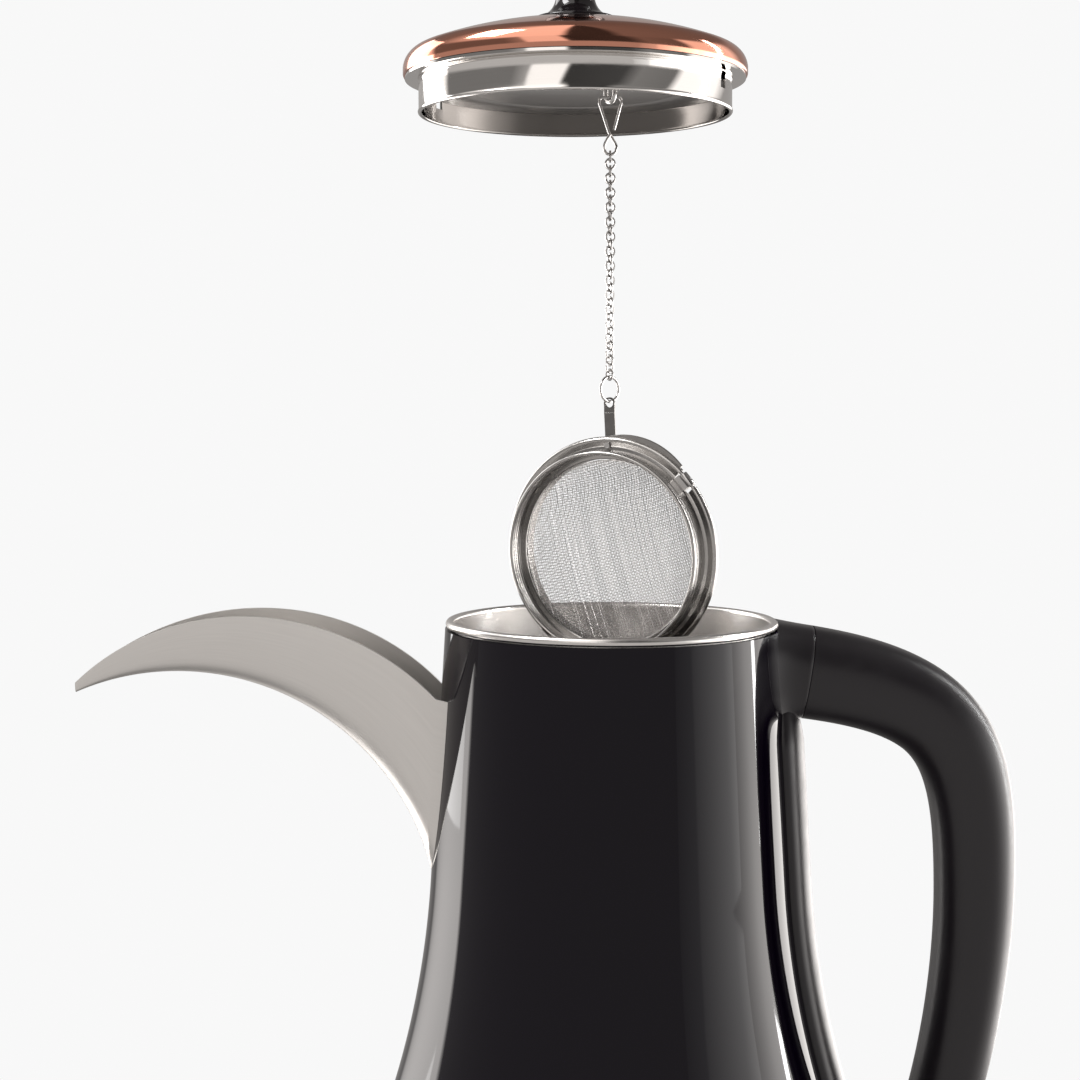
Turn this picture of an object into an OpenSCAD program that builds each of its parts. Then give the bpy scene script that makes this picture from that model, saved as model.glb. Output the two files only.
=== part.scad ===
// Arabic coffee maker: a cordless electric pot with a beak spout, a copper lid with a hanging
// mesh strainer ball, and a power base with a knob and a button. Millimetres, +Z up.
// The origin is on the table under the pot's axis. The spout points to -X, the handle to +X
// and the controls to -Y. Depths are measured down from the pot's rim.

/* [Pot body] */
// Height of the pot from its foot to its rim
pot_height = 188; // [176:1:205]
// Outer radius of the rim
rim_radius = 40.3; // [37:0.1:45]
// Widening of the upper body for each millimetre of depth
body_taper = 0.06; // [0.03:0.005:0.09]
// Depth at which the straight taper turns into the flare
taper_depth = 63; // [58:1:70]
// Radius of the hollow flare of the lower body
flare_radius = 230; // [215:1:260]
// Radius of the full curve at the foot of the body
bulge_radius = 22; // [19:0.5:24]
// Wall of the outer shell
shell_wall = 1.2; // [0.8:0.1:2]
// Wall of the inner vessel
vessel_wall = 0.8; // [0.6:0.1:1.4]
// Air gap between the vessel and the shell
air_gap = 2; // [1.5:0.1:3]
// Height of the vessel's floor above the pot's foot, which leaves room for the heater
bay_height = 38; // [37:1:46]
// Radius of the vessel's lower corner
vessel_corner = 14; // [10:0.5:18]
// Depth of the straight neck that takes the lid
neck_depth = 14; // [11:0.5:16]

/* [Spout] */
// Reach of the beak's tip from the pot's axis
spout_reach = 130.5; // [120:0.5:138]
// Depth of the tip's upper edge
spout_tip_depth = 15.6; // [10:0.2:20]
// Height of the tip
spout_tip_height = 2.4; // [2:0.1:4]
// Width of the tip
spout_tip_width = 2.4; // [2:0.1:5]
// Depth at which the upper edge meets the body
spout_root_top = 18.5; // [17:0.5:22]
// Depth at which the keel meets the body
spout_root_low = 61.5; // [58:0.5:62]
// Radius of the upper edge's arc
spout_top_radius = 62.75; // [58:0.25:75]
// Radius of the keel's arc
spout_keel_radius = 63; // [58:0.25:75]
// Width of the trough at the body
spout_width = 27; // [23:0.5:30]
// Wall of the trough
spout_wall = 1.1; // [0.8:0.1:1.6]
// Radius of the pouring hole in the shell
pour_radius = 9; // [7:0.5:10]
// Radius of each strainer hole in the vessel
strainer_radius = 2.2; // [1.6:0.1:2.4]

/* [Handle] */
// Width of the spine strip on the shell
spine_width = 18; // [14:0.5:20]
// Thickness of the spine strip
spine_thickness = 4.8; // [3.5:0.1:6]
// Depth of the spine's lower end
spine_low = 152; // [149:1:156]
// Distance of the grip's upper seam from the pot's axis
grip_seam = 47.5; // [47:0.1:50]
// Depth of the middle of the grip's upper arm
grip_top = 13; // [12.5:0.1:14]
// Reach of the grip's centre line from the pot's axis
grip_reach = 89.2; // [84:0.2:98]
// Depth at which the grip reaches furthest
grip_side = 66; // [58:1:72]
// Distance of the grip's lower end from the pot's axis
grip_end = 73.5; // [73:0.1:76]
// Depth of the grip's lower end
grip_low = 142; // [138:0.5:142]
// Thickness of the grip at its upper end
grip_upper_thick = 22.6; // [19:0.2:24]
// Thickness of the grip at its lower end
grip_lower_thick = 15.2; // [13:0.2:16]
// Width of the grip, seen from the handle's side
grip_width = 20; // [17:0.2:24]
// Wall of the grip's two halves
grip_wall = 2.4; // [1.8:0.1:3.2]
// Radius of the studs that hold the handle
stud_radius = 3; // [2:0.1:3.5]

/* [Lid] */
// Height of the lid's edge above the rim, held up as it is while serving
lid_raise = 129.5; // [126:0.5:145]
// Sideways place of the lid while it is held up
lid_aside = -9; // [-10:0.5:-7]
// Outer radius of the dome
lid_radius = 41; // [40.5:0.1:45]
// Height of the dome's upright edge
lid_lip = 1.5; // [1:0.1:3]
// Radius of the dome's shoulder
lid_shoulder = 5; // [4:0.2:7]
// Height of the dome
lid_crown = 13; // [12:0.2:16]
// Wall of the dome
lid_wall = 0.8; // [0.6:0.1:1.2]
// Play of the skirt in the neck
skirt_play = 0.9; // [0.85:0.05:1.3]
// Depth of the skirt below the dome's edge
skirt_height = 8.7; // [8:0.1:10]
// Thickness of the skirt
skirt_wall = 0.6; // [0.5:0.1:0.9]
// Depth of the steel underside below the dome's edge
liner_depth = 2.4; // [2:0.1:3]
// Width of the slots in the skirt
slot_width = 3; // [2:0.1:4]
// Height of the finial above the dome
finial_height = 36; // [30:1:44]
// Radius of the finial's foot
finial_foot = 10; // [8:0.2:11]
// Radius of the finial's bulb
finial_bulb = 8; // [7:0.2:9.5]
// Radius of the finial's neck
finial_neck = 4.6; // [4:0.1:6]

/* [Strainer ball] */
// Sideways place of the chain
chain_aside = -0.6; // [-1.5:0.1:0.5]
// Radius of the chain links' wire
link_wire = 0.3; // [0.25:0.01:0.33]
// Half length of a link, from the middle to its wire
link_half = 1.215; // [1.15:0.01:1.35]
// Half width of a link, from the middle to its wire
link_width = 1.05; // [0.95:0.01:1.1]
// Number of links in the chain
link_count = 31; // [29:1:33]
// Radius of the clip's wire
clip_wire = 0.35; // [0.3:0.01:0.38]
// Middle radius of the jump ring on the ball
jump_radius = 3; // [2.7:0.05:3.4]
// Radius of the jump ring's wire
jump_wire = 0.35; // [0.3:0.01:0.38]
// Outer radius of the rear half's rim
rear_radius = 28; // [27.7:0.1:28.6]
// Outer radius of the front half's band
front_radius = 24.9; // [24.6:0.1:25.4]
// Length of the front half's band
front_band = 5.4; // [5.3:0.1:6.4]
// Depth of the front mesh inside its band
mesh_recess = 4.8; // [4.4:0.1:4.9]
// Radius of the two mesh pieces
mesh_radius = 22.6; // [22:0.1:22.9]
// Thickness of the woven mesh
mesh_wall = 0.5; // [0.4:0.05:0.7]
// Thickness of the sheet that the rings are pressed from
ring_sheet = 0.6; // [0.5:0.05:0.8]
// Forward lean of the hanging ball, in degrees
ball_lean = 3; // [2:0.5:8]
// Turn of the hanging ball about its chain, in degrees
ball_turn = -28; // [-34:1:-20]
// Width of the tab that the ball hangs on
tab_width = 2.8; // [2.4:0.1:3.4]
// Radius of the hole in the tab
tab_hole = 1; // [0.95:0.05:1.1]
// Radius of the ball's hinge pin
pin_radius = 0.45; // [0.35:0.01:0.5]

/* [Power base] */
// Radius of the round base
base_radius = 66; // [62:1:72]
// Height of the base under the pot
base_height = 20; // [18:0.5:26]
// Height of the control console
console_height = 17; // [15.5:0.5:18]
// Width of the control console
console_width = 84; // [78:1:96]
// Reach of the console in front of the pot's axis
console_reach = 110; // [108:1:118]
// Radius of the console's corners
console_corner = 18; // [12:1:24]
// Wall of the base housing
base_wall = 2.4; // [2:0.1:3]
// Thickness of the bottom plate
plate_thickness = 2; // [1.6:0.1:2.6]
// Thickness of the rubber rings that the base and the pot stand on
foot_thickness = 2; // [1.8:0.1:3]
// Radius of the connector's plug
plug_radius = 14; // [13:0.2:15]
// Rise of the plug above the base
plug_rise = 10; // [9:0.5:12]
// Radius of the control knob
knob_radius = 13; // [10:0.5:15]
// Height of the control knob
knob_height = 13; // [10:0.5:16]
// Radius of the knob's shaft
shaft_radius = 3; // [2.5:0.1:3.5]
// Radius of the start button
button_radius = 7; // [5:0.2:8]
// Travel of the start button
button_travel = 2; // [1:0.1:2]
// Radius of the indicator lens
lens_radius = 3; // [2:0.1:4]
// Radius of the bore for the power cord
cord_bore = 3.4; // [2.5:0.1:4]

/* [Hidden] */
$fn = 96;

// Clearances: press fit, running fit, seat between bodies
press_fit = 0.05;
run_fit = 0.1;
seat_gap = 0.3;
far = 400;
// Overlap of pieces that are joined into one
overlap = 1;

// Levels of the pot
pot_floor = base_height + seat_gap;
rim_level = pot_floor + pot_height;
cover_thickness = 2.4;
cover_level = pot_floor + foot_thickness;
shell_depth = pot_height - foot_thickness - cover_thickness;
vessel_depth = pot_height - bay_height;
vessel_floor = pot_floor + bay_height;

// Flare of the body: the taper runs into an arc about flare_centre, written as [radius, depth]
taper_norm = sqrt(1 + body_taper * body_taper);
flare_normal = [1, -body_taper] / taper_norm;
flare_centre = [rim_radius + body_taper * taper_depth, taper_depth] + flare_radius * flare_normal;
flare_steps = 720;
// Turn of the revolved bodies, which keeps their seams clear of the spout and the handle
seam = 90;

// Neck and rim
neck_outer = rim_radius - shell_wall - run_fit;
neck_inner = neck_outer - vessel_wall;
rim_roll = (rim_radius - neck_inner) / 2;
shell_top = 2 * rim_roll + run_fit;
vessel_inset = shell_wall + air_gap;
pour_depth = (spout_root_top + spout_root_low) / 2 - 2;

// Lid
skirt_radius = neck_inner - skirt_play;
skirt_flange = lid_radius - lid_wall / 2;
flange_sheet = 0.8;
bead_radius = 0.5;
slot_height = 4.8;
slot_reach = 6;
slot_angle = -25;
liner_sheet = 0.6;
crown_drop = lid_lip - lid_crown;
shoulder_reach = lid_radius - lid_shoulder;
crown_radius = (lid_shoulder ^ 2 - crown_drop ^ 2 - shoulder_reach ^ 2) / (2 * (crown_drop + lid_shoulder));
crown_centre = lid_crown - crown_radius;
lid_place = [lid_aside, 0, rim_level + lid_raise];

// Finial fixings
finial_screw = 2.5;
stud_rise = 13.5;
stud_end = 1.2;
nut_height = 3.5;
nut_radius = 4.6;
washer_radius = 6.5;
washer_sheet = 0.8;
washer_drop = crown_radius - sqrt(crown_radius ^ 2 - washer_radius ^ 2) + press_fit;

// Eye and clip
eye_radius = 2;
eye_wire = 0.6;
eye_turn = 30;
eye_leg = 0.6;
eye_level = lid_place.z - liner_depth - liner_sheet - eye_leg;
clip_level = eye_level - eye_radius + eye_wire + clip_wire + run_fit;
clip_low = 13.5;
// Route of the clip's wire, as sideways, forward and upward places from its resting point
clip_route = [[0.9, 0, -7.6], [1.6, 0, -5], [2.4, 0, -2], [2.65, 0, -0.9], [2.2, 0, -0.1], [1, 0, 0],
    [-1, 0, 0], [-2.2, 0, -0.1], [-2.65, 0, -0.9], [-2.3, 0, -2.2], [-1.3, 0, -5.2], [-0.3, 0, -8.2],
    [0.5, -0.2, -9.6], [1.4, -0.4, -11.4], [1.2, -0.5, -12.9], [0, -0.6, -clip_low],
    [-1.2, -0.7, -12.9], [-1.4, -0.85, -11.4], [-0.7, -0.95, -9.8], [0, -1, -8.8]];
clip_sides = 8;
clip_steps = 3;

// Chain
link_play = 0.1;
link_pitch = 2 * link_half - 2 * link_wire - link_play;
link_twist = 1.4;
link_start = clip_level - clip_low + clip_wire + link_wire + link_play - link_half;
link_end = link_start - (link_count - 1) * link_pitch;
upper_links = floor(link_count / 2);
jump_level = link_end - link_half + link_wire + link_play + jump_wire - jump_radius;
// The jump ring stands across the last link
jump_turn = link_angle(link_count - 1) + 90;
tab_play = 0.25;
link_forward = -0.6;

// Ball: the tab hangs on the jump ring
tab_level = jump_level - jump_radius + jump_wire + tab_play - tab_hole;
tab_drop = 36;
hole_up = tab_drop * cos(ball_lean);
hole_back = tab_drop * sin(ball_lean);
ball_place = [chain_aside, link_forward, tab_level - tab_drop];
half_gap = 0.3;
flange_front = half_gap + run_fit;
flange_back = flange_front + ring_sheet;
collar_inner = mesh_radius + press_fit;
collar_back = flange_back + 2.6;
rear_bead = 0.9;
lip_reach = 1.2;
lip_angle = 67;
lip_radius = 20;
front_seat = mesh_recess - front_band;
front_dome = 100;
hinge_angle = 41;
hinge_radius = rear_radius - rear_bead;
hinge_back = flange_back;
notch_width = 5;
notch_reach = 12;
pin_end = 1.2;
ear_width = 3.6;
ear_radius = 1.1;
bridge_front = 1.6;
bridge_width = 2;
rivet_radius = 0.7;
rivet_length = 3;
rivet_up = front_radius + rivet_radius + seat_gap;
tab_sheet = 0.4;
tab_foot = 1.4;
tab_upright = 2.4;
latch_width = 3;

// Base
screw_radius = 1.6;
screw_head = 2.8;
head_height = 1.4;
screw_length = 9;
boss_radius = 3.4;
control_y = -(console_reach - 19);
knob_x = 21;
knob_level = console_height + 2 * seat_gap;
knob_cap = 4;
switch_floor = 1;
switch_wall = 4;
button_x = -22;
board_post = 3;
board_sheet = 1.6;
board_level = foot_thickness + plate_thickness + board_post;
board_top = board_level + board_sheet;
console_inner = console_height - base_wall;
plate_hole = screw_radius + seat_gap;
boss_inset = 24;
boss_edge = 10;
boss_circle = base_radius - boss_inset;
// Screw bosses: two behind and two in the console, each as its place and its top
base_bosses = [
    for (a = [50, 130]) [boss_circle * cos(a), boss_circle * sin(a), base_height - base_wall / 2],
    for (s = [-1, 1])
        [s * (console_width / 2 - boss_edge), boss_edge - console_reach, console_height - base_wall / 2]];
gland_level = (base_height + foot_thickness) / 2;
gland_radius = cord_bore + 1.6;
plug_groove = 2.2;
plug_flange = 4;
plug_grooves = [plug_radius * 0.36, plug_radius * 0.68];
// Board between the console's bosses, and the switch under the button at the end of its travel
board_half = console_width / 2 - boss_edge - boss_radius - seat_gap;
board_depth = 24;
board_back = control_y + board_depth / 2;
post_inset = 4;
button_flange = 1;
lens_flange = 1;
button_low = console_inner - seat_gap - button_flange;
switch_side = 8;
switch_height = button_low - button_travel - seat_gap - board_top;

// Bottom of the pot
cover_radius = 46.5;
opening_radius = cover_radius - 4;
socket_wall = 4;
socket_radius = plug_radius + socket_wall;
socket_flange = socket_radius + 3;
cover_top = cover_level + cover_thickness;
spigot_height = 1.2;
post_circle = 34;
post_radius = 4;
post_angles = [90, 210, 330];
plate_radius = post_circle - post_radius - 1.5;
heater_sheet = 4;
heater_bottom = vessel_floor - press_fit - heater_sheet;
element_circle = 22;
element_radius = 3.2;
element_lead = 12;
lead_angle = 12;
lead_radius = 1.5;
thermostat_radius = 9;
thermostat_height = 9;
terminal_drop = 15;

// Grip: centre line in two curves, written as [distance from the axis, depth]
grip_start = [grip_seam, grip_top];
grip_mid = [grip_reach, grip_side];
grip_stop = [grip_end, grip_low];
grip_run = 36;
grip_fall = 30;
grip_lean = [8, -14];
grip_curves = [
    [grip_start, grip_start + grip_run * [1, 0.15], grip_mid - [0, grip_run], grip_mid],
    [grip_mid, grip_mid + [0, grip_fall], grip_stop + [grip_lean.x, grip_lean.y], grip_stop]];
grip_rings = 36;
grip_sides = 16;
grip_round = 2.5;
grip_gap = 0.1;
boss_lip = 0.3;
boss_length = 26;

// Spout rings
spout_rings = 26;
spout_sides = 14;
spout_round = 2.6;

// Helpers

function arc_centre(p, q, r) =
    let (d = q - p)
    (p + q) / 2 + sqrt(r * r - d * d / 4) * [-d.y, d.x] / norm(d);

function arc_point(p, q, r, s) =
    let (c = arc_centre(p, q, r))
    let (a = atan2(p.y - c.y, p.x - c.x))
    let (b = atan2(q.y - c.y, q.x - c.x))
    c + r * [cos(a + (b - a) * s), sin(a + (b - a) * s)];

function bezier(c, t) =
    c[0] * (1 - t) ^ 3 + c[1] * 3 * t * (1 - t) ^ 2 + c[2] * 3 * t ^ 2 * (1 - t) + c[3] * t ^ 3;

function bezier_way(c, t) =
    let (v = (c[1] - c[0]) * (1 - t) ^ 2 + (c[2] - c[1]) * 2 * t * (1 - t) + (c[3] - c[2]) * t ^ 2)
    v / norm(v);

// Point of a smooth curve through p[i] and p[i + 1]
function smooth_point(p, i, t) =
    let (n = len(p) - 1)
    let (a = p[max(i - 1, 0)], b = p[i], c = p[min(i + 1, n)], d = p[min(i + 2, n)])
    0.5 * (2 * b + (c - a) * t + (2 * a - 5 * b + 4 * c - d) * t ^ 2 + (3 * b - a - 3 * c + d) * t ^ 3);

// Cosine and sine of a rounded square section
function round_cos(a, power) = sign(cos(a)) * abs(cos(a)) ^ (2 / power);
function round_sin(a, power) = sign(sin(a)) * abs(sin(a)) ^ (2 / power);

// Turn of a chain link, counted from the top
function link_angle(i) = 90 + i * (90 + link_twist);

// Radius of the body's outer surface on its upper taper
function taper_radius(depth) = rim_radius + body_taper * depth;

// Wall between two stacks of open lines, outer and inner, with its edges and ends closed
module wall_between(outer, inner) {
    rows = len(outer) - 1;
    cols = len(outer[0]) - 1;
    count = (rows + 1) * (cols + 1);
    function at(i, j, k) = k * count + i * (cols + 1) + j;
    function split(q) = [[q[0], q[1], q[2]], [q[0], q[2], q[3]]];
    quads = concat(
        [for (i = [0:rows - 1], j = [0:cols - 1])
            [at(i, j, 0), at(i, j + 1, 0), at(i + 1, j + 1, 0), at(i + 1, j, 0)]],
        [for (i = [0:rows - 1], j = [0:cols - 1])
            [at(i, j, 1), at(i + 1, j, 1), at(i + 1, j + 1, 1), at(i, j + 1, 1)]],
        [for (i = [0:rows - 1]) [at(i, 0, 0), at(i + 1, 0, 0), at(i + 1, 0, 1), at(i, 0, 1)]],
        [for (i = [0:rows - 1])
            [at(i, cols, 0), at(i, cols, 1), at(i + 1, cols, 1), at(i + 1, cols, 0)]],
        [for (j = [0:cols - 1]) [at(0, j, 0), at(0, j, 1), at(0, j + 1, 1), at(0, j + 1, 0)]],
        [for (j = [0:cols - 1])
            [at(rows, j, 0), at(rows, j + 1, 0), at(rows, j + 1, 1), at(rows, j, 1)]]);
    polyhedron([for (side = [outer, inner], row = side) each row], [for (q = quads) each split(q)]);
}

// Solid through a stack of closed rings
module rod_through(rings) {
    rows = len(rings) - 1;
    sides = len(rings[0]);
    function at(i, j) = i * sides + j % sides;
    polyhedron([for (ring = rings) each ring], concat(
        [for (i = [0:rows - 1], j = [0:sides - 1]) [at(i, j), at(i, j + 1), at(i + 1, j + 1)]],
        [for (i = [0:rows - 1], j = [0:sides - 1]) [at(i, j), at(i + 1, j + 1), at(i + 1, j)]],
        [[for (j = [sides - 1:-1:0]) at(0, j)]],
        [[for (j = [0:sides - 1]) at(rows, j)]]));
}

// Half of the body's section, filled to the axis: inset is the distance inside the outer surface
module body_section(inset, depth, corner) {
    bend = flare_centre - (flare_radius + inset) * flare_normal;
    corner_depth = depth - corner;
    reach = flare_radius + inset + corner;
    corner_x = flare_centre.x - sqrt(reach ^ 2 - (corner_depth - flare_centre.y) ^ 2);
    way = [corner_x, corner_depth] - flare_centre;
    touch = flare_centre + (flare_radius + inset) * way / norm(way);
    mirror([0, 1]) {
        polygon([[0, 0], [bend.x - body_taper * bend.y, 0], bend, [0, bend.y]]);
        difference() {
            translate([0, bend.y]) square([touch.x, touch.y - bend.y]);
            translate(flare_centre) circle(flare_radius + inset, $fn = flare_steps);
        }
        translate([corner_x, corner_depth]) circle(corner);
        translate([0, touch.y - overlap]) square([corner_x, depth - touch.y + overlap]);
        translate([0, bend.y - overlap]) square([bend.x - overlap, 2 * overlap]);
    }
}

// Filled body, standing a little proud of the outer surface
module body_solid(proud) {
    translate([0, 0, rim_level]) rotate(seam) rotate_extrude()
        body_section(-proud, shell_depth + proud, bulge_radius + proud);
}

module ring(inner, outer, height) {
    difference() {
        cylinder(r = outer, h = height);
        translate([0, 0, -height]) cylinder(r = inner, h = 3 * height);
    }
}

module screw(shank, length, head) {
    translate([0, 0, -head_height]) cylinder(r = shank, h = head_height + length);
    translate([0, 0, -head_height]) cylinder(r = head, h = head_height - press_fit);
}

// Power base

module console_outline(inset) {
    half = console_width / 2;
    translate([-half + inset, -console_reach + console_corner])
        square([2 * (half - inset), console_reach - console_corner]);
    translate([-half + console_corner, -console_reach + inset])
        square([2 * (half - console_corner), console_corner]);
    for (s = [-1, 1])
        translate([s * (half - console_corner), -console_reach + console_corner])
            circle(console_corner - inset);
}

module base_housing() {
    color([0.09, 0.09, 0.1]) difference() {
        union() {
            difference() {
                union() {
                    translate([0, 0, foot_thickness])
                        cylinder(r = base_radius, h = base_height - foot_thickness);
                    translate([0, 0, foot_thickness])
                        linear_extrude(console_height - foot_thickness) console_outline(0);
                }
                cylinder(r = base_radius - base_wall, h = base_height - base_wall);
                linear_extrude(console_inner) console_outline(base_wall);
            }
            for (p = base_bosses)
                translate([p.x, p.y, foot_thickness + plate_thickness])
                    cylinder(r = boss_radius, h = p.z - foot_thickness - plate_thickness);
        }
        for (p = base_bosses)
            translate([p.x, p.y, 0])
                cylinder(r = screw_radius + press_fit, h = foot_thickness + screw_length + 1);
        translate([0, 0, base_height - far / 2]) cylinder(r = plug_radius + run_fit, h = far);
        translate([knob_x, control_y, 0]) cylinder(r = shaft_radius + seat_gap, h = far);
        translate([button_x, control_y, 0]) cylinder(r = button_radius + seat_gap, h = far);
        translate([0, control_y, 0]) cylinder(r = lens_radius + press_fit, h = far);
        translate([0, base_radius - 2 * base_wall, gland_level])
            rotate([-90, 0, 0]) cylinder(r = gland_radius + press_fit, h = 4 * base_wall);
    }
}

module base_plate() {
    color([0.16, 0.16, 0.17]) difference() {
        union() {
            translate([0, 0, foot_thickness])
                cylinder(r = base_radius - base_wall - run_fit, h = plate_thickness);
            translate([0, 0, foot_thickness]) linear_extrude(plate_thickness)
                console_outline(base_wall + run_fit);
            for (s = [-1, 1])
                translate([s * (board_half - post_inset), board_back - post_inset, foot_thickness])
                    cylinder(r = board_post, h = plate_thickness + board_post);
        }
        for (p = base_bosses) translate([p.x, p.y, 0]) cylinder(r = plate_hole, h = far);
    }
}

module base_foot() {
    inset = 8;
    width = 6;
    color([0.2, 0.2, 0.2]) ring(base_radius - inset - width, base_radius - inset, foot_thickness);
}

module base_screws() {
    color("silver") for (p = base_bosses)
        translate([p.x, p.y, foot_thickness]) screw(screw_radius, screw_length, screw_head);
}

module base_plug() {
    flange = 2;
    groove_depth = 8;
    color([0.13, 0.13, 0.14]) translate([0, 0, base_height]) rotate_extrude() difference() {
        union() {
            translate([0, -base_wall - flange]) square([plug_radius + plug_flange, flange]);
            translate([0, -base_wall - flange]) square([plug_radius, plug_rise + base_wall + flange]);
        }
        for (r = plug_grooves) translate([r, plug_rise - groove_depth]) square([plug_groove, far]);
        translate([0, plug_rise - groove_depth]) square([plug_groove, far]);
    }
}

module pot_socket() {
    blade = plug_groove - 2 * seat_gap;
    blade_length = 6;
    cap = 3;
    flange = 1.6;
    roof = base_height + plug_rise + 2 * seat_gap;
    color([0.13, 0.13, 0.14]) rotate_extrude() {
        translate([plug_radius + seat_gap, cover_level])
            square([socket_radius - plug_radius - seat_gap, roof - cover_level + cap]);
        translate([0, roof]) square([socket_radius, cap]);
        translate([plug_radius + seat_gap, cover_top + run_fit])
            square([socket_flange - plug_radius - seat_gap, flange]);
        for (r = plug_grooves)
            translate([r + seat_gap, roof - blade_length]) square([blade, blade_length + overlap]);
        translate([0, roof - blade_length]) square([blade, blade_length + overlap]);
    }
}

module cord_gland() {
    lip = 2;
    tail = 5;
    color([0.12, 0.12, 0.12]) translate([0, base_radius, gland_level]) rotate([-90, 0, 0]) difference() {
        union() {
            translate([0, 0, -base_wall - lip]) cylinder(r = gland_radius, h = base_wall + lip + tail);
            translate([0, 0, press_fit]) cylinder(r = gland_radius + lip, h = lip);
        }
        translate([0, 0, -far / 2]) cylinder(r = cord_bore, h = far);
    }
}

module control_board() {
    color([0.1, 0.35, 0.2]) translate([-board_half, control_y - board_depth / 2, board_level])
        cube([2 * board_half, board_depth, board_sheet]);
}

module rotary_switch() {
    color([0.25, 0.25, 0.27]) translate([knob_x, control_y, board_top]) difference() {
        cylinder(r = shaft_radius + switch_wall, h = console_inner - board_top - seat_gap);
        translate([0, 0, switch_floor]) cylinder(r = shaft_radius + press_fit, h = far);
    }
}

module push_switch() {
    color([0.25, 0.25, 0.27])
        translate([button_x - switch_side / 2, control_y - switch_side / 2, board_top])
            cube([switch_side, switch_side, switch_height]);
}

module indicator_lamp() {
    color([0.9, 0.5, 0.2]) translate([0, control_y, board_top])
        cylinder(r = 2, h = console_inner - board_top - lens_flange - 2 * seat_gap);
}

module indicator_lens() {
    rise = 0.6;
    color([0.85, 0.2, 0.1]) translate([0, control_y, 0]) {
        translate([0, 0, console_inner - lens_flange])
            cylinder(r = lens_radius, h = base_wall + lens_flange + rise);
        translate([0, 0, console_inner - lens_flange])
            cylinder(r = lens_radius + lens_flange, h = lens_flange);
    }
}

module control_knob() {
    edge = 2;
    bore_depth = knob_height - knob_cap;
    mark = 1.2;
    mark_depth = 0.8;
    color([0.1, 0.1, 0.11]) translate([knob_x, control_y, knob_level]) difference() {
        rotate_extrude() {
            square([knob_radius, knob_height - edge]);
            square([knob_radius - edge, knob_height]);
            translate([knob_radius - edge, knob_height - edge]) circle(edge);
        }
        translate([0, 0, -1]) cylinder(r = shaft_radius + press_fit, h = bore_depth + 1);
        translate([-mark / 2, -knob_radius, knob_height - mark_depth])
            cube([mark, knob_radius * 0.7, 2 * mark_depth]);
    }
}

module knob_shaft() {
    low = board_top + switch_floor + run_fit;
    high = knob_level + knob_height - knob_cap - run_fit;
    color("silver") translate([knob_x, control_y, low]) cylinder(r = shaft_radius, h = high - low);
}

module start_button() {
    rise = 2.4;
    color([0.75, 0.42, 0.3]) translate([button_x, control_y, 0]) {
        translate([0, 0, button_low]) cylinder(r = button_radius, h = console_height - button_low + rise);
        translate([0, 0, button_low]) cylinder(r = button_radius + button_flange, h = button_flange);
    }
}

// Pot

module outer_shell() {
    color([0.05, 0.045, 0.05]) difference() {
        translate([0, 0, rim_level]) rotate(seam) rotate_extrude() difference() {
            body_section(0, shell_depth, bulge_radius);
            body_section(shell_wall, shell_depth - shell_wall, bulge_radius - shell_wall);
            translate([0, -shell_depth - shell_wall]) square([opening_radius, 3 * shell_wall]);
            translate([0, -shell_top]) square([far, far]);
        }
        pour_hole(pour_radius);
    }
}

module pour_hole(radius) {
    translate([0, 0, rim_level - pour_depth]) rotate([0, -90, 0]) cylinder(r = radius, h = far);
}

module inner_vessel() {
    mid_wall = taper_radius(neck_depth) - (vessel_inset + vessel_wall / 2) * taper_norm;
    holes = concat([[0, 0]], [for (a = [0:60:300]) (pour_radius - strainer_radius - 1) * [cos(a), sin(a)]]);
    color("silver") difference() {
        translate([0, 0, rim_level]) rotate(seam) rotate_extrude() {
            difference() {
                body_section(vessel_inset, vessel_depth, vessel_corner);
                body_section(vessel_inset + vessel_wall, vessel_depth - vessel_wall,
                    vessel_corner - vessel_wall);
                translate([0, -neck_depth]) square([far, far]);
            }
            translate([mid_wall, -neck_depth - vessel_wall / 2])
                square([neck_outer - mid_wall, 1.5 * vessel_wall]);
            translate([neck_inner, -neck_depth]) square([vessel_wall, neck_depth - rim_roll]);
            translate([neck_inner + rim_roll, -rim_roll]) circle(rim_roll);
        }
        for (h = holes)
            translate([0, h.x, rim_level - pour_depth + h.y]) rotate([0, -90, 0])
                cylinder(r = strainer_radius, h = far);
    }
}

// One line across the trough: share runs from the body to the tip
function spout_line(share, wall) =
    let (top = arc_point([-taper_radius(spout_root_top), -spout_root_top],
        [-spout_reach, -spout_tip_depth], spout_top_radius, share))
    let (keel = arc_point([-taper_radius(spout_root_low), -spout_root_low],
        [-spout_reach, -spout_tip_depth - spout_tip_height], spout_keel_radius, share))
    let (half = spout_tip_width / 2 + (spout_width - spout_tip_width) / 2 * (1 - share ^ 2))
    let (height = norm(keel - top))
    let (skin = min(wall, 0.3 * half, 0.3 * height))
    [for (j = [0:spout_sides])
        let (a = 180 * j / spout_sides)
        let (p = top + (keel - top) * round_sin(a, spout_round) * (1 - skin / height))
        let (y = (half - skin) * round_cos(a, spout_round))
        let (root = sqrt((taper_radius(-p.y) + press_fit) ^ 2 - y * y))
        [share == 0 ? -root : p.x, y, rim_level + p.y]];

module spout() {
    shares = [for (i = [0:spout_rings]) i / spout_rings];
    color([0.74, 0.72, 0.7]) wall_between(
        [for (s = shares) spout_line(s, spout_wall)],
        [for (s = shares) spout_line(s, 0)]);
}

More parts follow.
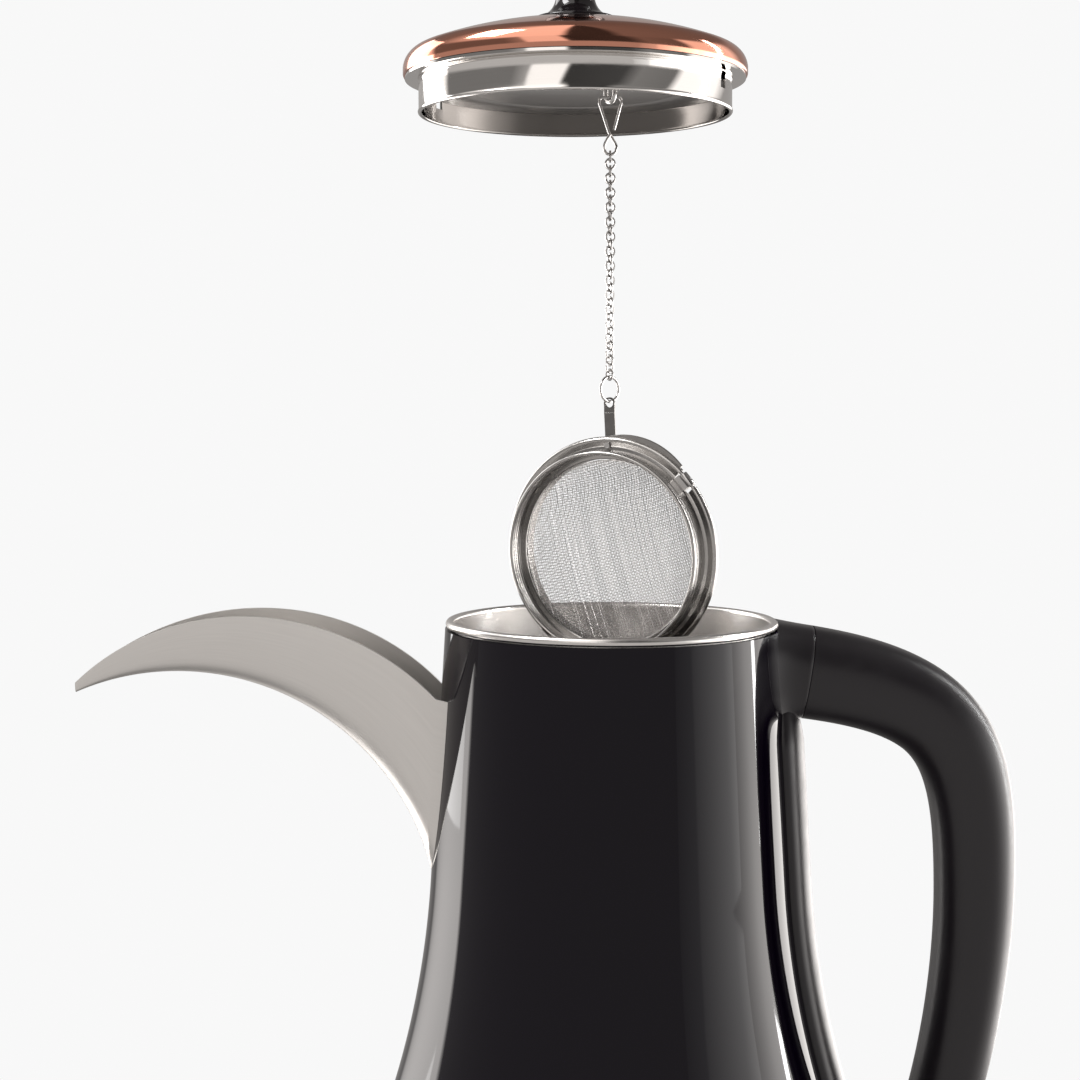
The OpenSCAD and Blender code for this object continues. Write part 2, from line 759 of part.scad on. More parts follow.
module spout_seal() {
    width = 2.8;
    play = 0.2;
    color([0.85, 0.85, 0.83]) intersection() {
        difference() {
            pour_hole(pour_radius + play + width);
            pour_hole(pour_radius + play);
        }
        translate([0, 0, rim_level]) rotate(seam) rotate_extrude() difference() {
            body_section(shell_wall + press_fit, vessel_depth, bulge_radius);
            body_section(vessel_inset - press_fit, vessel_depth + 1, bulge_radius);
        }
    }
}

module heating_plate() {
    color([0.7, 0.71, 0.73]) translate([0, 0, heater_bottom]) cylinder(r = plate_radius, h = heater_sheet);
}

module heating_element() {
    level = heater_bottom - element_radius - press_fit;
    color([0.45, 0.45, 0.47]) translate([0, 0, level]) {
        rotate_extrude() translate([element_circle, 0]) circle(element_radius);
        for (a = [-lead_angle, lead_angle])
            rotate(a) translate([element_circle, 0, -element_lead])
                cylinder(r = lead_radius, h = element_lead);
    }
}

module thermostat() {
    blade = 0.8;
    blade_width = 6;
    color([0.8, 0.78, 0.72]) translate([0, 0, heater_bottom - press_fit]) {
        translate([0, 0, -thermostat_height]) cylinder(r = thermostat_radius, h = thermostat_height);
        for (s = [-1, 1])
            translate([s * thermostat_radius / 2 - blade / 2, -blade_width / 2, -terminal_drop])
                cube([blade, blade_width, terminal_drop - thermostat_height + overlap]);
    }
}

module thermal_fuse() {
    fuse = 2;
    fuse_length = 14;
    fuse_y = 13.5;
    color([0.75, 0.75, 0.75]) translate([-fuse_length / 2, fuse_y, heater_bottom - press_fit - fuse])
        rotate([0, 90, 0]) cylinder(r = fuse, h = fuse_length);
}

module standoff_posts() {
    low = cover_top + spigot_height + press_fit;
    color("silver") for (a = post_angles) rotate(a) translate([post_circle, 0, low]) difference() {
        cylinder(r = post_radius, h = vessel_floor - press_fit - low);
        translate([0, 0, -1]) cylinder(r = screw_radius + press_fit, h = screw_length + 2);
    }
}

module bottom_cover() {
    color([0.1, 0.1, 0.11]) difference() {
        union() {
            translate([0, 0, cover_level]) cylinder(r = cover_radius, h = cover_thickness);
            translate([0, 0, cover_level])
                cylinder(r = opening_radius - run_fit, h = cover_thickness + spigot_height);
        }
        cylinder(r = socket_radius + run_fit, h = far);
        translate([0, 0, cover_top]) cylinder(r = socket_flange + 2, h = far);
        for (a = post_angles) rotate(a) translate([post_circle, 0, 0])
            cylinder(r = screw_radius + seat_gap, h = far);
    }
}

module bottom_screws() {
    color("silver") for (a = post_angles) rotate(a) translate([post_circle, 0, cover_level])
        screw(screw_radius, screw_length, screw_head);
}

module pot_foot() {
    color([0.2, 0.2, 0.2]) translate([0, 0, pot_floor])
        ring(post_circle + post_radius, cover_radius - foot_thickness, foot_thickness);
}

// Handle

// Place, outward way and half thickness of the grip at a share of its length
function grip_frame(share) =
    let (curve = grip_curves[share < 0.5 ? 0 : 1])
    let (t = share < 0.5 ? 2 * share : 2 * share - 1)
    let (way = bezier_way(curve, t))
    let (thick = grip_upper_thick + (grip_lower_thick - grip_upper_thick) * share)
    [bezier(curve, t), [way.y, -way.x], thick / 2];

// Line across one half of the grip, wall inside its surface
function grip_line(share, wall) =
    let (frame = grip_frame(share))
    let (thick = frame[2] - wall)
    let (width = grip_width / 2 - wall)
    [for (j = [0:grip_sides])
        let (a = 180 * j / grip_sides)
        let (p = frame[0] + frame[1] * thick * round_cos(a, grip_round))
        [p.x, -grip_gap / 2 - width * round_sin(a, grip_round), rim_level - p.y]];

module grip_half() {
    shares = [for (i = [0:grip_rings]) i / grip_rings];
    wall_between(
        [for (s = shares) grip_line(s, 0)],
        [for (s = shares) grip_line(s, grip_wall)]);
}

module grip_front() {
    color([0.07, 0.07, 0.075]) grip_half();
}

module grip_back() {
    color([0.07, 0.07, 0.075]) mirror([0, 1, 0]) grip_half();
}

module handle_core() {
    inset = grip_wall + run_fit;
    color([0.3, 0.3, 0.32]) rod_through([for (i = [0:grip_rings])
        let (share = i / grip_rings)
        let (front = grip_line(share, inset))
        let (back = [for (j = [grip_sides - 1:-1:1]) [front[j].x, -front[j].y, front[j].z]])
        concat(front, back)]);
}

// Stands a bar on the middle of one of the grip's ends, pointing at the body
module at_grip_end(share) {
    frame = grip_frame(share);
    way = [frame[1].y, -frame[1].x] * (share == 0 ? 1 : -1);
    translate([frame[0].x, 0, rim_level - frame[0].y]) rotate([0, atan2(way.x, -way.y), 0]) children();
}

module handle_spine() {
    color([0.07, 0.07, 0.075]) difference() {
        union() {
            intersection() {
                body_solid(spine_thickness);
                translate([0, -spine_width / 2, rim_level - spine_low])
                    cube([far, spine_width, spine_low - shell_top]);
            }
            intersection() {
                at_grip_end(0) cylinder(r = grip_upper_thick / 2 + boss_lip, h = boss_length / 2);
                translate([0, -far / 2, rim_level - shell_top - far]) cube(far);
            }
            at_grip_end(1) cylinder(r = grip_lower_thick / 2 + boss_lip, h = boss_length);
        }
        body_solid(run_fit);
        for (share = [0, 1]) at_grip_end(share)
            translate([0, 0, -boss_length]) cylinder(r = stud_radius + run_fit, h = 3 * boss_length);
    }
}

module handle_studs() {
    color("silver") difference() {
        for (share = [0, 1]) at_grip_end(share) translate([0, 0, run_fit])
            cylinder(r = stud_radius, h = boss_length);
        body_solid(press_fit);
    }
}

// Lid, about its own axis with the dome's edge at height 0

module dome_section(inset) {
    touch = (shoulder_reach / (crown_radius - lid_shoulder)) * crown_radius;
    square([lid_radius - inset, lid_lip]);
    difference() {
        translate([shoulder_reach, lid_lip]) circle(lid_shoulder - inset);
        translate([-far, -far]) square([2 * far, far]);
    }
    intersection() {
        translate([0, crown_centre]) circle(crown_radius - inset, $fn = flare_steps);
        square([touch, far]);
    }
}

module lid_dome() {
    color([0.78, 0.45, 0.33]) translate(lid_place) difference() {
        rotate_extrude() difference() {
            dome_section(0);
            dome_section(lid_wall);
        }
        cylinder(r = finial_screw + run_fit, h = far);
    }
}

module lid_skirt() {
    color("silver") translate(lid_place) difference() {
        rotate_extrude() {
            translate([skirt_radius - skirt_wall, -flange_sheet])
                square([skirt_flange - skirt_radius + skirt_wall, flange_sheet]);
            translate([skirt_radius - skirt_wall, -skirt_height + bead_radius])
                square([skirt_wall, skirt_height - bead_radius]);
            translate([skirt_radius - skirt_wall / 2, -flange_sheet - bead_radius]) circle(bead_radius);
            translate([skirt_radius - skirt_wall / 2, -skirt_height + bead_radius]) circle(bead_radius);
        }
        for (a = [slot_angle, slot_angle + 180]) rotate(a)
            translate([skirt_radius - slot_reach / 2, -slot_width / 2, -slot_height])
                cube([slot_reach, slot_width, slot_height - flange_sheet]);
    }
}

module lid_liner() {
    color([0.75, 0.75, 0.75]) translate(lid_place) translate([0, 0, -liner_depth - liner_sheet])
        cylinder(r = skirt_radius - skirt_wall - run_fit, h = liner_sheet);
}

module lid_finial() {
    tip = lid_crown + finial_height;
    foot_sheet = 1;
    flare = finial_foot - finial_neck;
    neck_top = lid_crown + foot_sheet + flare + 1;
    bulb_centre = neck_top + sqrt(finial_bulb ^ 2 - finial_neck ^ 2);
    point = 1.2;
    slope = 30;
    color([0.06, 0.055, 0.06]) translate(lid_place) difference() {
        rotate_extrude() difference() {
            union() {
                translate([0, lid_crown - 1]) square([finial_foot, 1 + foot_sheet]);
                difference() {
                    translate([0, lid_crown]) square([finial_foot, foot_sheet + flare]);
                    translate([finial_foot, lid_crown + foot_sheet + flare]) circle(flare);
                }
                translate([0, lid_crown]) square([finial_neck, neck_top - lid_crown + 1]);
                intersection() {
                    translate([0, bulb_centre]) circle(finial_bulb);
                    translate([0, bulb_centre - far / 2]) square(far);
                }
                polygon([[0, bulb_centre],
                    [finial_bulb * cos(slope), bulb_centre + finial_bulb * sin(slope)],
                    [point, tip - point],
                    [0, tip - point]]);
                intersection() {
                    translate([0, tip - point]) circle(point);
                    translate([0, tip - 2 * point]) square(2 * point);
                }
            }
            dome_section(-press_fit);
        }
        cylinder(r = finial_screw + press_fit, h = lid_crown + stud_rise + seat_gap);
    }
}

module finial_stud() {
    low = lid_crown - lid_wall - washer_drop - washer_sheet - nut_height - stud_end;
    color("silver") translate(lid_place) translate([0, 0, low])
        cylinder(r = finial_screw, h = lid_crown + stud_rise - low);
}

module finial_washer() {
    color("silver") translate(lid_place)
        translate([0, 0, lid_crown - lid_wall - washer_drop - washer_sheet])
        ring(finial_screw + press_fit, washer_radius, washer_sheet);
}

module finial_nut() {
    level = lid_crown - lid_wall - washer_drop - washer_sheet - nut_height;
    color("silver") translate(lid_place) translate([0, 0, level]) difference() {
        cylinder(r = nut_radius, h = nut_height - press_fit, $fn = 6);
        translate([0, 0, -1]) cylinder(r = finial_screw + press_fit, h = far);
    }
}

module chain_eye() {
    color("silver") translate([chain_aside, 0, eye_level]) rotate(eye_turn) {
        rotate([-90, 0, 90]) rotate_extrude(angle = 180) translate([eye_radius, 0])
            circle(eye_wire, $fn = 32);
        for (s = [-1, 1]) translate([0, s * eye_radius, 0]) cylinder(r = eye_wire, h = eye_leg, $fn = 32);
    }
}

// Strainer chain

module chain_clip() {
    last = len(clip_route) - 2;
    line = concat([for (i = [0:last], k = [0:clip_steps - 1]) smooth_point(clip_route, i, k / clip_steps)],
        [clip_route[last + 1]]);
    rings = [for (i = [0:len(line) - 1])
        let (d = line[min(i + 1, len(line) - 1)] - line[max(i - 1, 0)])
        let (side = [d.z, 0, -d.x] / norm([d.z, 0, -d.x]))
        [for (j = [0:clip_sides - 1])
            let (a = 360 * j / clip_sides)
            line[i] + clip_wire * (side * cos(a) + [0, sin(a), 0])]];
    color("silver") translate([chain_aside, 0, clip_level]) rod_through(rings);
}

module link() {
    straight = link_half - link_width;
    for (s = [0, 180]) rotate([0, s, 0]) {
        translate([0, 0, straight]) rotate([90, 0, 0])
            rotate_extrude(angle = 180) translate([link_width, 0]) circle(link_wire, $fn = 24);
        translate([link_width, 0, -straight]) cylinder(r = link_wire, h = 2 * straight, $fn = 24);
    }
}

module links(first, last) {
    color("silver") for (i = [first:last])
        translate([chain_aside, link_forward, link_start - i * link_pitch])
            rotate(link_angle(i)) link();
}

module chain_upper() {
    links(0, upper_links - 1);
}

module chain_lower() {
    links(upper_links, link_count - 1);
}

module ball_link() {
    color("silver") translate([chain_aside, link_forward, jump_level]) rotate(jump_turn) rotate([90, 0, 0])
        rotate_extrude() translate([jump_radius, 0]) circle(jump_wire, $fn = 32);
}

// Strainer ball, about its own centre: the front faces -Y, angles run from +X towards +Z

module ball_frame() {
    translate(ball_place) rotate([ball_lean, 0, ball_turn]) children();
}

// Revolves a section of radius and place towards the back about the ball's axis
module ball_turned() {
    rotate([-90, 0, 0]) rotate_extrude() children();
}

module at_rim(angle, radius, back) {
    rotate([0, -angle, 0]) translate([radius, back, 0]) children();
}

// Strip of the tab's section between two places, written as [back, up], with a rounded bend at the end
module tab_strip(start, stop) {
    way = stop - start;
    translate(start) rotate(-atan2(way.x, way.y)) translate([-tab_sheet / 2, 0])
        square([tab_sheet, norm(way)]);
    translate(stop) circle(tab_sheet / 2 + press_fit, $fn = 24);
}

// Bent tab: flat behind the rim where it is riveted, then back, then upright under the jump ring
module infuser_tab() {
    foot_back = flange_back + rear_bead + press_fit + tab_sheet / 2;
    hole = [hole_back, hole_up];
    bend = hole - tab_upright * [sin(ball_lean), cos(ball_lean)];
    corner = [foot_back, rivet_up + tab_foot];
    color([0.35, 0.35, 0.35]) ball_frame() difference() {
        union() {
            translate([-tab_width / 2, 0, 0]) rotate([90, 0, 90]) linear_extrude(tab_width) {
                tab_strip([foot_back, rivet_up - tab_foot], corner);
                tab_strip(corner, bend);
                tab_strip(bend, hole);
            }
            translate([0, hole.x, hole.y]) rotate([-90 - ball_lean, 0, 0])
                cylinder(r = tab_width / 2 + press_fit, h = tab_sheet + 2 * press_fit, center = true);
        }
        translate([0, hole.x, hole.y]) rotate([-90 - ball_lean, 0, 0])
            cylinder(r = tab_hole, h = far, center = true);
        tab_rivet_shape(press_fit);
    }
}

module tab_rivet_shape(play) {
    head = 0.5;
    translate([0, flange_front - head - run_fit - play, rivet_up]) rotate([-90, 0, 0]) {
        cylinder(r = rivet_radius * 0.6 + play, h = rivet_length + 2 * play);
        cylinder(r = rivet_radius + play, h = head + play);
    }
}

module tab_rivet() {
    color("silver") ball_frame() tab_rivet_shape(0);
}

// Flange with a beaded edge and a collar for the mesh; a thin lip swells out between the tab and the hinge
module rear_ring() {
    color([0.62, 0.61, 0.6]) ball_frame() difference() {
        union() {
            ball_turned() {
                translate([collar_inner, flange_front])
                    square([rear_radius - rear_bead - collar_inner, ring_sheet]);
                translate([collar_inner, flange_front]) square([ring_sheet, collar_back - flange_front]);
                translate([rear_radius - rear_bead, flange_back]) circle(rear_bead, $fn = 32);
            }
            difference() {
                at_rim(lip_angle, rear_radius + lip_reach - lip_radius, flange_back) rotate([-90, 0, 0])
                    cylinder(r = lip_radius, h = ring_sheet);
                rotate([90, 0, 0]) cylinder(r = rear_radius - rear_bead / 2, h = far, center = true);
            }
        }
        at_rim(hinge_angle, front_radius + 2 * run_fit, -notch_reach / 2)
            translate([0, 0, -notch_width / 2]) cube([notch_reach, notch_reach, notch_width]);
        at_rim(hinge_angle + 180, front_radius - seat_gap, -notch_reach / 2)
            translate([0, 0, -notch_width / 2]) cube([notch_reach, notch_reach, notch_width]);
        at_rim(hinge_angle, hinge_radius, hinge_back)
            cylinder(r = pin_radius + press_fit, h = 2 * notch_width, center = true);
        tab_rivet_shape(press_fit);
    }
}

module hinge_pin() {
    color("silver") ball_frame() at_rim(hinge_angle, hinge_radius, hinge_back)
        cylinder(r = pin_radius, h = notch_width + 2 * pin_end, center = true);
}

// Woven half ball behind the rear ring
module rear_mesh() {
    color([0.72, 0.71, 0.7]) ball_frame() ball_turned() translate([0, flange_front + run_fit]) difference() {
        intersection() {
            circle(mesh_radius);
            square(far);
        }
        circle(mesh_radius - mesh_wall);
    }
}

// Woven cover, slightly domed, that lies deep inside the front band
module front_mesh() {
    middle = front_seat + sqrt(front_dome ^ 2 - mesh_radius ^ 2);
    color([0.72, 0.71, 0.7]) ball_frame() ball_turned() intersection() {
        translate([0, middle]) difference() {
            circle(front_dome, $fn = flare_steps);
            circle(front_dome - mesh_wall, $fn = flare_steps);
        }
        translate([0, front_seat - far]) square([mesh_radius, far + 2 * mesh_wall]);
    }
}

module front_ring() {
    color([0.7, 0.69, 0.68]) ball_frame() difference() {
        union() {
            ball_turned() {
                translate([front_radius - ring_sheet, -front_band])
                    square([ring_sheet, front_band + half_gap - run_fit]);
                translate([collar_inner, front_seat]) square([front_radius - collar_inner, ring_sheet]);
                translate([front_radius - bead_radius, -front_band + bead_radius])
                    circle(bead_radius, $fn = 32);
            }
            at_rim(hinge_angle, hinge_radius, hinge_back)
                cylinder(r = ear_radius, h = ear_width, center = true);
            at_rim(hinge_angle, front_radius - ring_sheet / 2, hinge_back - ear_radius - bridge_front)
                translate([0, 0, -ear_width / 2])
                    cube([hinge_radius - front_radius + ring_sheet / 2, bridge_width, ear_width]);
        }
        at_rim(hinge_angle, hinge_radius, hinge_back)
            cylinder(r = pin_radius + run_fit, h = 2 * notch_width, center = true);
    }
}

module latch_tongue() {
    sheet = 0.5;
    front = 3.4;
    back = 3.1;
    hook = 1.6;
    color("silver") ball_frame() at_rim(hinge_angle + 180, front_radius + press_fit, 0)
        translate([0, 0, -latch_width / 2]) {
            translate([0, -front, 0]) cube([sheet, front + back, latch_width]);
            translate([0, back - sheet, 0]) cube([hook, sheet, latch_width]);
        }
}

base_housing();
base_plate();
base_foot();
base_screws();
base_plug();
cord_gland();
control_board();
rotary_switch();
push_switch();
indicator_lamp();
indicator_lens();
control_knob();
knob_shaft();
start_button();
pot_socket();
outer_shell();
inner_vessel();
spout();
spout_seal();
heating_plate();
heating_element();
thermostat();
thermal_fuse();
standoff_posts();
bottom_cover();
bottom_screws();
pot_foot();
handle_spine();
handle_studs();
handle_core();
grip_front();
grip_back();
lid_dome();
lid_skirt();
lid_liner();
lid_finial();
finial_stud();
finial_nut();
finial_washer();
chain_eye();
chain_clip();
chain_upper();
chain_lower();
ball_link();
infuser_tab();
tab_rivet();
rear_ring();
rear_mesh();
hinge_pin();
front_ring();
front_mesh();
latch_tongue();
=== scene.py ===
import math

import bmesh
import bpy
import numpy as np
from mathutils import Euler, Matrix, Vector


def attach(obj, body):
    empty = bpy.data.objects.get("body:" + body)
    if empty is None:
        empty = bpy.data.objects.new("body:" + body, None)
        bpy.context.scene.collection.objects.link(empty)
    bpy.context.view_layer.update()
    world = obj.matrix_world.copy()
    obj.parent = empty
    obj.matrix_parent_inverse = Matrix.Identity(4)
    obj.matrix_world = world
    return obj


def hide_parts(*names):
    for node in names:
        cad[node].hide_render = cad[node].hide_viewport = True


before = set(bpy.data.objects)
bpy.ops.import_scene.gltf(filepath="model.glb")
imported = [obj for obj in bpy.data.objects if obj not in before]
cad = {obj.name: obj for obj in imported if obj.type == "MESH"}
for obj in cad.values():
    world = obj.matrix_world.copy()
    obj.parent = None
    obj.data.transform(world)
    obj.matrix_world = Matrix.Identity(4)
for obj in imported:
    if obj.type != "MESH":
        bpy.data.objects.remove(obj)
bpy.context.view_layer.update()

# Looks of the coffee maker. Lengths are in millimetres until a mesh is made. Edges steeper than SHARP
# degrees stay sharp; GAP is left between pieces that lie on each other.
MM = 0.001
SHARP = 38
GAP = 0.05
scene = bpy.context.scene

# Pot
RIM = 208.3
RIM_R = 40.3
TAPER = 0.06
TAPER_DEPTH = 63
FLARE = 230
BULGE = 22
SHELL_WALL = 1.2
SHELL_DEPTH = 183.6
SHELL_TOP = 2.2
FLOOR_HOLE = 42.5
VESSEL_INSET = 3.2
VESSEL_WALL = 0.8
VESSEL_DEPTH = 150
VESSEL_CORNER = 14
NECK_DEPTH = 14
NECK_IN = 38.2
POUR_DEPTH = 38
POUR_R = 9
HOLE_R = 2.2

# Spout: its upper and lower line as start, end and bend radius, measured from the axis and the rim
SPOUT_TOP = (-41.41, -18.5), (-130.5, -15.6), 62.75
SPOUT_KEEL = (-43.99, -61.5), (-130.5, -18.0), 63
SPOUT_TIP = 1.2
SPOUT_SWELL = 12.3
SPOUT_ROUND = 2.6
SPOUT_WALL = 1.1
SPOUT_SIDES = 44

# Handle: the grip's line in two curves, measured from the axis and down from the rim
GRIP_A = np.array([(47.5, 13), (83.5, 18.4), (89.2, 30), (89.2, 66)], float)
GRIP_B = np.array([(89.2, 66), (89.2, 96), (81.5, 128), (73.5, 142)], float)
GRIP_THICK = 22.6
GRIP_TAPER = 7.4
GRIP_HALF = 10
GRIP_ROUND = 0.8
GRIP_WALL = 2.4
GRIP_SIDES = 32
ROWS = 97
STRIP_THICK = 4.8
STRIP_HALF = 13
STRIP_TOP = 6
STRIP_LOW = 151.8
STRIP_ROUND = 2.2
STRIP_GROWS = 24
STRIP_ENDS = 5
ROOT_SINK = 0.15
ROOT_EASE = 3
ROOT_TUCK = 0.975

# Lid
LID = (-9, 0, RIM + 129.5)
LID_R = 41
LIP = 1.5
SHOULDER = 5
CROWN = 13
CROWN_R = 107.942
SKIRT_R = 37.3
SKIRT_WALL = 0.6
DOME_WALL = 0.8
SLOT = (6, 3, 3.9)
SLOT_DROP = 2.85
SLOT_TURNS = (-25, 155)
EYE_R = 2
EYE_LEG = 0.6
EYE_WIRE = 0.6
EYE_TURN = 30
EYE_DROP = 3.6

# Strainer
CHAIN_X = -0.6
CHAIN_Y = -0.6
CLIP_Z = 333.25
CLIP_LOW = 13.5
CLIP_WIRE = 0.35
LINK_Z = 319.285
LINK_PITCH = 1.73
LINK_SPLIT = 15
LINK_COUNT = 31
LINK_STEP = 91.4
LINK_HALF = 1.05
LINK_LONG = 1.215
LINK_WIRE = 0.3
JUMP_Z = 263.92
JUMP_TURN = 42
JUMP_R = 3
BALL_LEAN = 3
BALL_TURN = -28
BALL_AXES = np.array(Euler((math.radians(BALL_LEAN), 0, math.radians(BALL_TURN))).to_matrix())
BALL = np.array((CHAIN_X, CHAIN_Y, 224.52))
FRONT_R = 24.9
FRONT_BAND = 5.4
FRONT_SEAT = -0.6
FRONT_DOME = 100
RING_SHEET = 0.6
REAR_R = 28
REAR_BEAD = 0.9
FLANGE = 0.4
MESH_R = 22.6
WEAVE_PITCH = 0.65
WEAVE_WIRE = 0.066
WEAVE_LIFT = 0.11
HINGE_ANGLE = 41
HINGE_BACK = 1
LIP_REACH = 1.2
LIP_ANGLE = 67
LIP_R = 20
LIP_CLEAR = 7
NOTCH = (12, 12, 5)


# Meshes

def new_object(name, data):
    obj = bpy.data.objects.new(name, data)
    scene.collection.objects.link(obj)
    return obj


def make(name, verts, faces, uvs=None, sharp=SHARP):
    """A mesh object from millimetre points; uvs holds one pair for each face corner."""
    mesh = bpy.data.meshes.new(name)
    mesh.from_pydata([tuple(float(c) * MM for c in v) for v in verts], [], faces)
    if uvs is not None:
        layer = mesh.uv_layers.new(name="along")
        layer.data.foreach_set("uv", np.array(uvs, np.float32).ravel())
    return tidy(new_object(name, mesh), sharp)


def reshape(mesh, change):
    """Runs a change on a mesh in its editable form."""
    work = bmesh.new()
    work.from_mesh(mesh)
    change(work)
    work.to_mesh(mesh)
    work.free()
    return mesh


def tidy(obj, sharp=SHARP):
    """Turns the normals outward and shades smooth, with edges kept where faces meet at a steep angle."""
    reshape(obj.data, lambda work: bmesh.ops.recalc_face_normals(work, faces=work.faces))
    obj.data.shade_smooth()
    obj.data.set_sharp_from_angle(angle=math.radians(sharp))
    return obj


def give(obj, body, slot, look, *stands_for):
    """Dresses a piece and ties it to its CAD body."""
    obj.data.materials.clear()
    obj.data.materials.append(LOOK[look])
    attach(obj, body)
    if stands_for:
        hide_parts(*stands_for)


def turned(name, line, place, segments, closed=True, axis=None, sharp=SHARP):
    """Revolves (radius, height) points. axis turns the finished points when it isn't upright."""
    count = len(line)
    steps = count if closed else count - 1
    lengths = [0.0]
    for i in range(steps):
        a, b = line[i], line[(i + 1) % count]
        lengths.append(lengths[-1] + math.dist(a, b) / 100)
    verts, index = [], {}
    for i, (r, h) in enumerate(line):
        for s in range(segments):
            if r < 1e-6 and s:
                index[i, s] = index[i, 0]
                continue
            a = 2 * math.pi * s / segments + math.pi / 2
            index[i, s] = len(verts)
            verts.append((r * math.cos(a), r * math.sin(a), h))
    faces, uvs = [], []
    for i in range(steps):
        j = (i + 1) % count
        for s in range(segments):
            t = (s + 1) % segments
            corners = [(i, s, 0, 0), (i, t, 1, 0), (j, t, 1, 1), (j, s, 0, 1)]
            seen, face = set(), []
            for row, col, du, dv in corners:
                v = index[row, col]
                if v not in seen:
                    seen.add(v)
                    face.append(v)
                    uvs.append(((s + du) / segments, lengths[i + dv]))
            faces.append(face)
    points = np.array(verts)
    if axis is not None:
        points = points @ np.array(axis).T
    return make(name, points + np.array(place), faces, uvs, sharp)


def rounded(points, radius, steps):
    """Closed line of points with each corner turned into a short curve."""
    out = []
    count = len(points)
    for i in range(count):
        p, a, b = (np.array(points[k % count], float) for k in (i, i - 1, i + 1))
        cut = min(radius, 0.45 * np.linalg.norm(a - p), 0.45 * np.linalg.norm(b - p))
        s = p + (a - p) / np.linalg.norm(a - p) * cut
        e = p + (b - p) / np.linalg.norm(b - p) * cut
        for k in range(steps + 1):
            t = k / steps
            out.append(tuple((1 - t) ** 2 * s + 2 * t * (1 - t) * p + t ** 2 * e))
    return out


def arc(centre, radius, start, stop, steps):
    """Points of a circle's arc, angles in degrees."""
    angles = np.radians(np.linspace(start, stop, steps + 1))
    return [(centre[0] + radius * math.cos(a), centre[1] + radius * math.sin(a)) for a in angles]


def block(size, matrix):
    """A plain box used as a cutter."""
    mesh = reshape(bpy.data.meshes.new("cutter"), lambda work: bmesh.ops.create_cube(work, size=1))
    mesh.transform(Matrix.Diagonal((*[s * MM for s in size], 1)))
    mesh.transform(matrix)
    return new_object("cutter", mesh)


def cut(obj, *cutters):
    """Takes the cutters out of obj and removes them."""
    for cutter in cutters:
        step = obj.modifiers.new("cut", "BOOLEAN")
        step.operation = "DIFFERENCE"
        step.solver = "EXACT"
        step.object = cutter
    bake(obj)
    for cutter in cutters:
        bpy.data.objects.remove(cutter)


def bake(obj):
    """Swaps obj's mesh for what its modifiers make, and drops them."""
    graph = bpy.context.evaluated_depsgraph_get()
    mesh = bpy.data.meshes.new_from_object(obj.evaluated_get(graph))
    obj.modifiers.clear()
    obj.data = mesh
    return obj


def softened(node, body, slot, look, width):
    """A copy of a CAD node with its sharp edges eased."""
    def join(work):
        bmesh.ops.remove_doubles(work, verts=work.verts, dist=2e-6)
        flat = math.radians(0.5)
        bmesh.ops.dissolve_limit(work, angle_limit=flat, verts=work.verts, edges=work.edges)

    obj = new_object(node + "_eased", reshape(cad[node].data.copy(), join))
    bevel = obj.modifiers.new("ease", "BEVEL")
    bevel.width = width * MM
    bevel.segments = 2
    bevel.limit_method = "ANGLE"
    bevel.angle_limit = math.radians(40)
    bevel.use_clamp_overlap = True
    bake(obj)
    tidy(obj, 50)
    even = obj.modifiers.new("even", "WEIGHTED_NORMAL")
    even.keep_sharp = True
    bake(obj)
    give(obj, body, slot, look, node)


# Nodes

FLOAT, WHOLE, VECTOR, COLOUR, SHAPE, PAINT = (
    "NodeSocket" + kind for kind in ("Float", "Int", "Vector", "Color", "Geometry", "Material"))
SHADING, SHAPING = "ShaderNodeTree", "GeometryNodeTree"
LEAVE = "NodeGroupOutput"
GROUP = "ShaderNodeGroup"
NOISE = "ShaderNodeTexNoise"
SPAN = "ShaderNodeMapRange"
BUMP = "ShaderNodeBump"
VECTOR_MATH = "ShaderNodeVectorMath"
COORDS = "ShaderNodeTexCoord"
XYZ = "ShaderNodeCombineXYZ"
CIRCLE = "GeometryNodeCurvePrimitiveCircle"
TUBE = "GeometryNodeCurveToMesh"


def add(tree, kind, sockets=None, **settings):
    """Adds a node and gives its outputs. sockets holds a value or an output, or a list, for each input."""
    node = tree.nodes.new(kind)
    for key, value in settings.items():
        setattr(node, key, value)
    for key, values in (sockets or {}).items():
        for value in values if isinstance(values, list) else [values]:
            if isinstance(value, bpy.types.NodeSocket):
                tree.links.new(value, node.inputs[key])
            else:
                node.inputs[key].default_value = value
    return node.outputs


def calc(tree, operation, *values):
    """Adds a math node and gives its result."""
    return add(tree, "ShaderNodeMath", dict(enumerate(values)), operation=operation)["Value"]


def blend(tree, factor, low, high):
    """One colour turning into another as the factor grows."""
    return add(tree, "ShaderNodeMix", {"Factor": factor, 6: low, 7: high}, data_type="RGBA")[2]


def node_group(kind, name, inputs, outputs):
    """A new group, and what comes into it. Sockets are given as label, kind and perhaps a value."""
    tree = bpy.data.node_groups.new(name, kind)
    for label, socket, *value in inputs:
        made = tree.interface.new_socket(label, in_out="INPUT", socket_type=socket)
        if value:
            made.default_value = value[0]
    for label, socket in outputs:
        tree.interface.new_socket(label, in_out="OUTPUT", socket_type=socket)
    return tree, add(tree, "NodeGroupInput")


# Shader node groups: they give values, colours and normals only

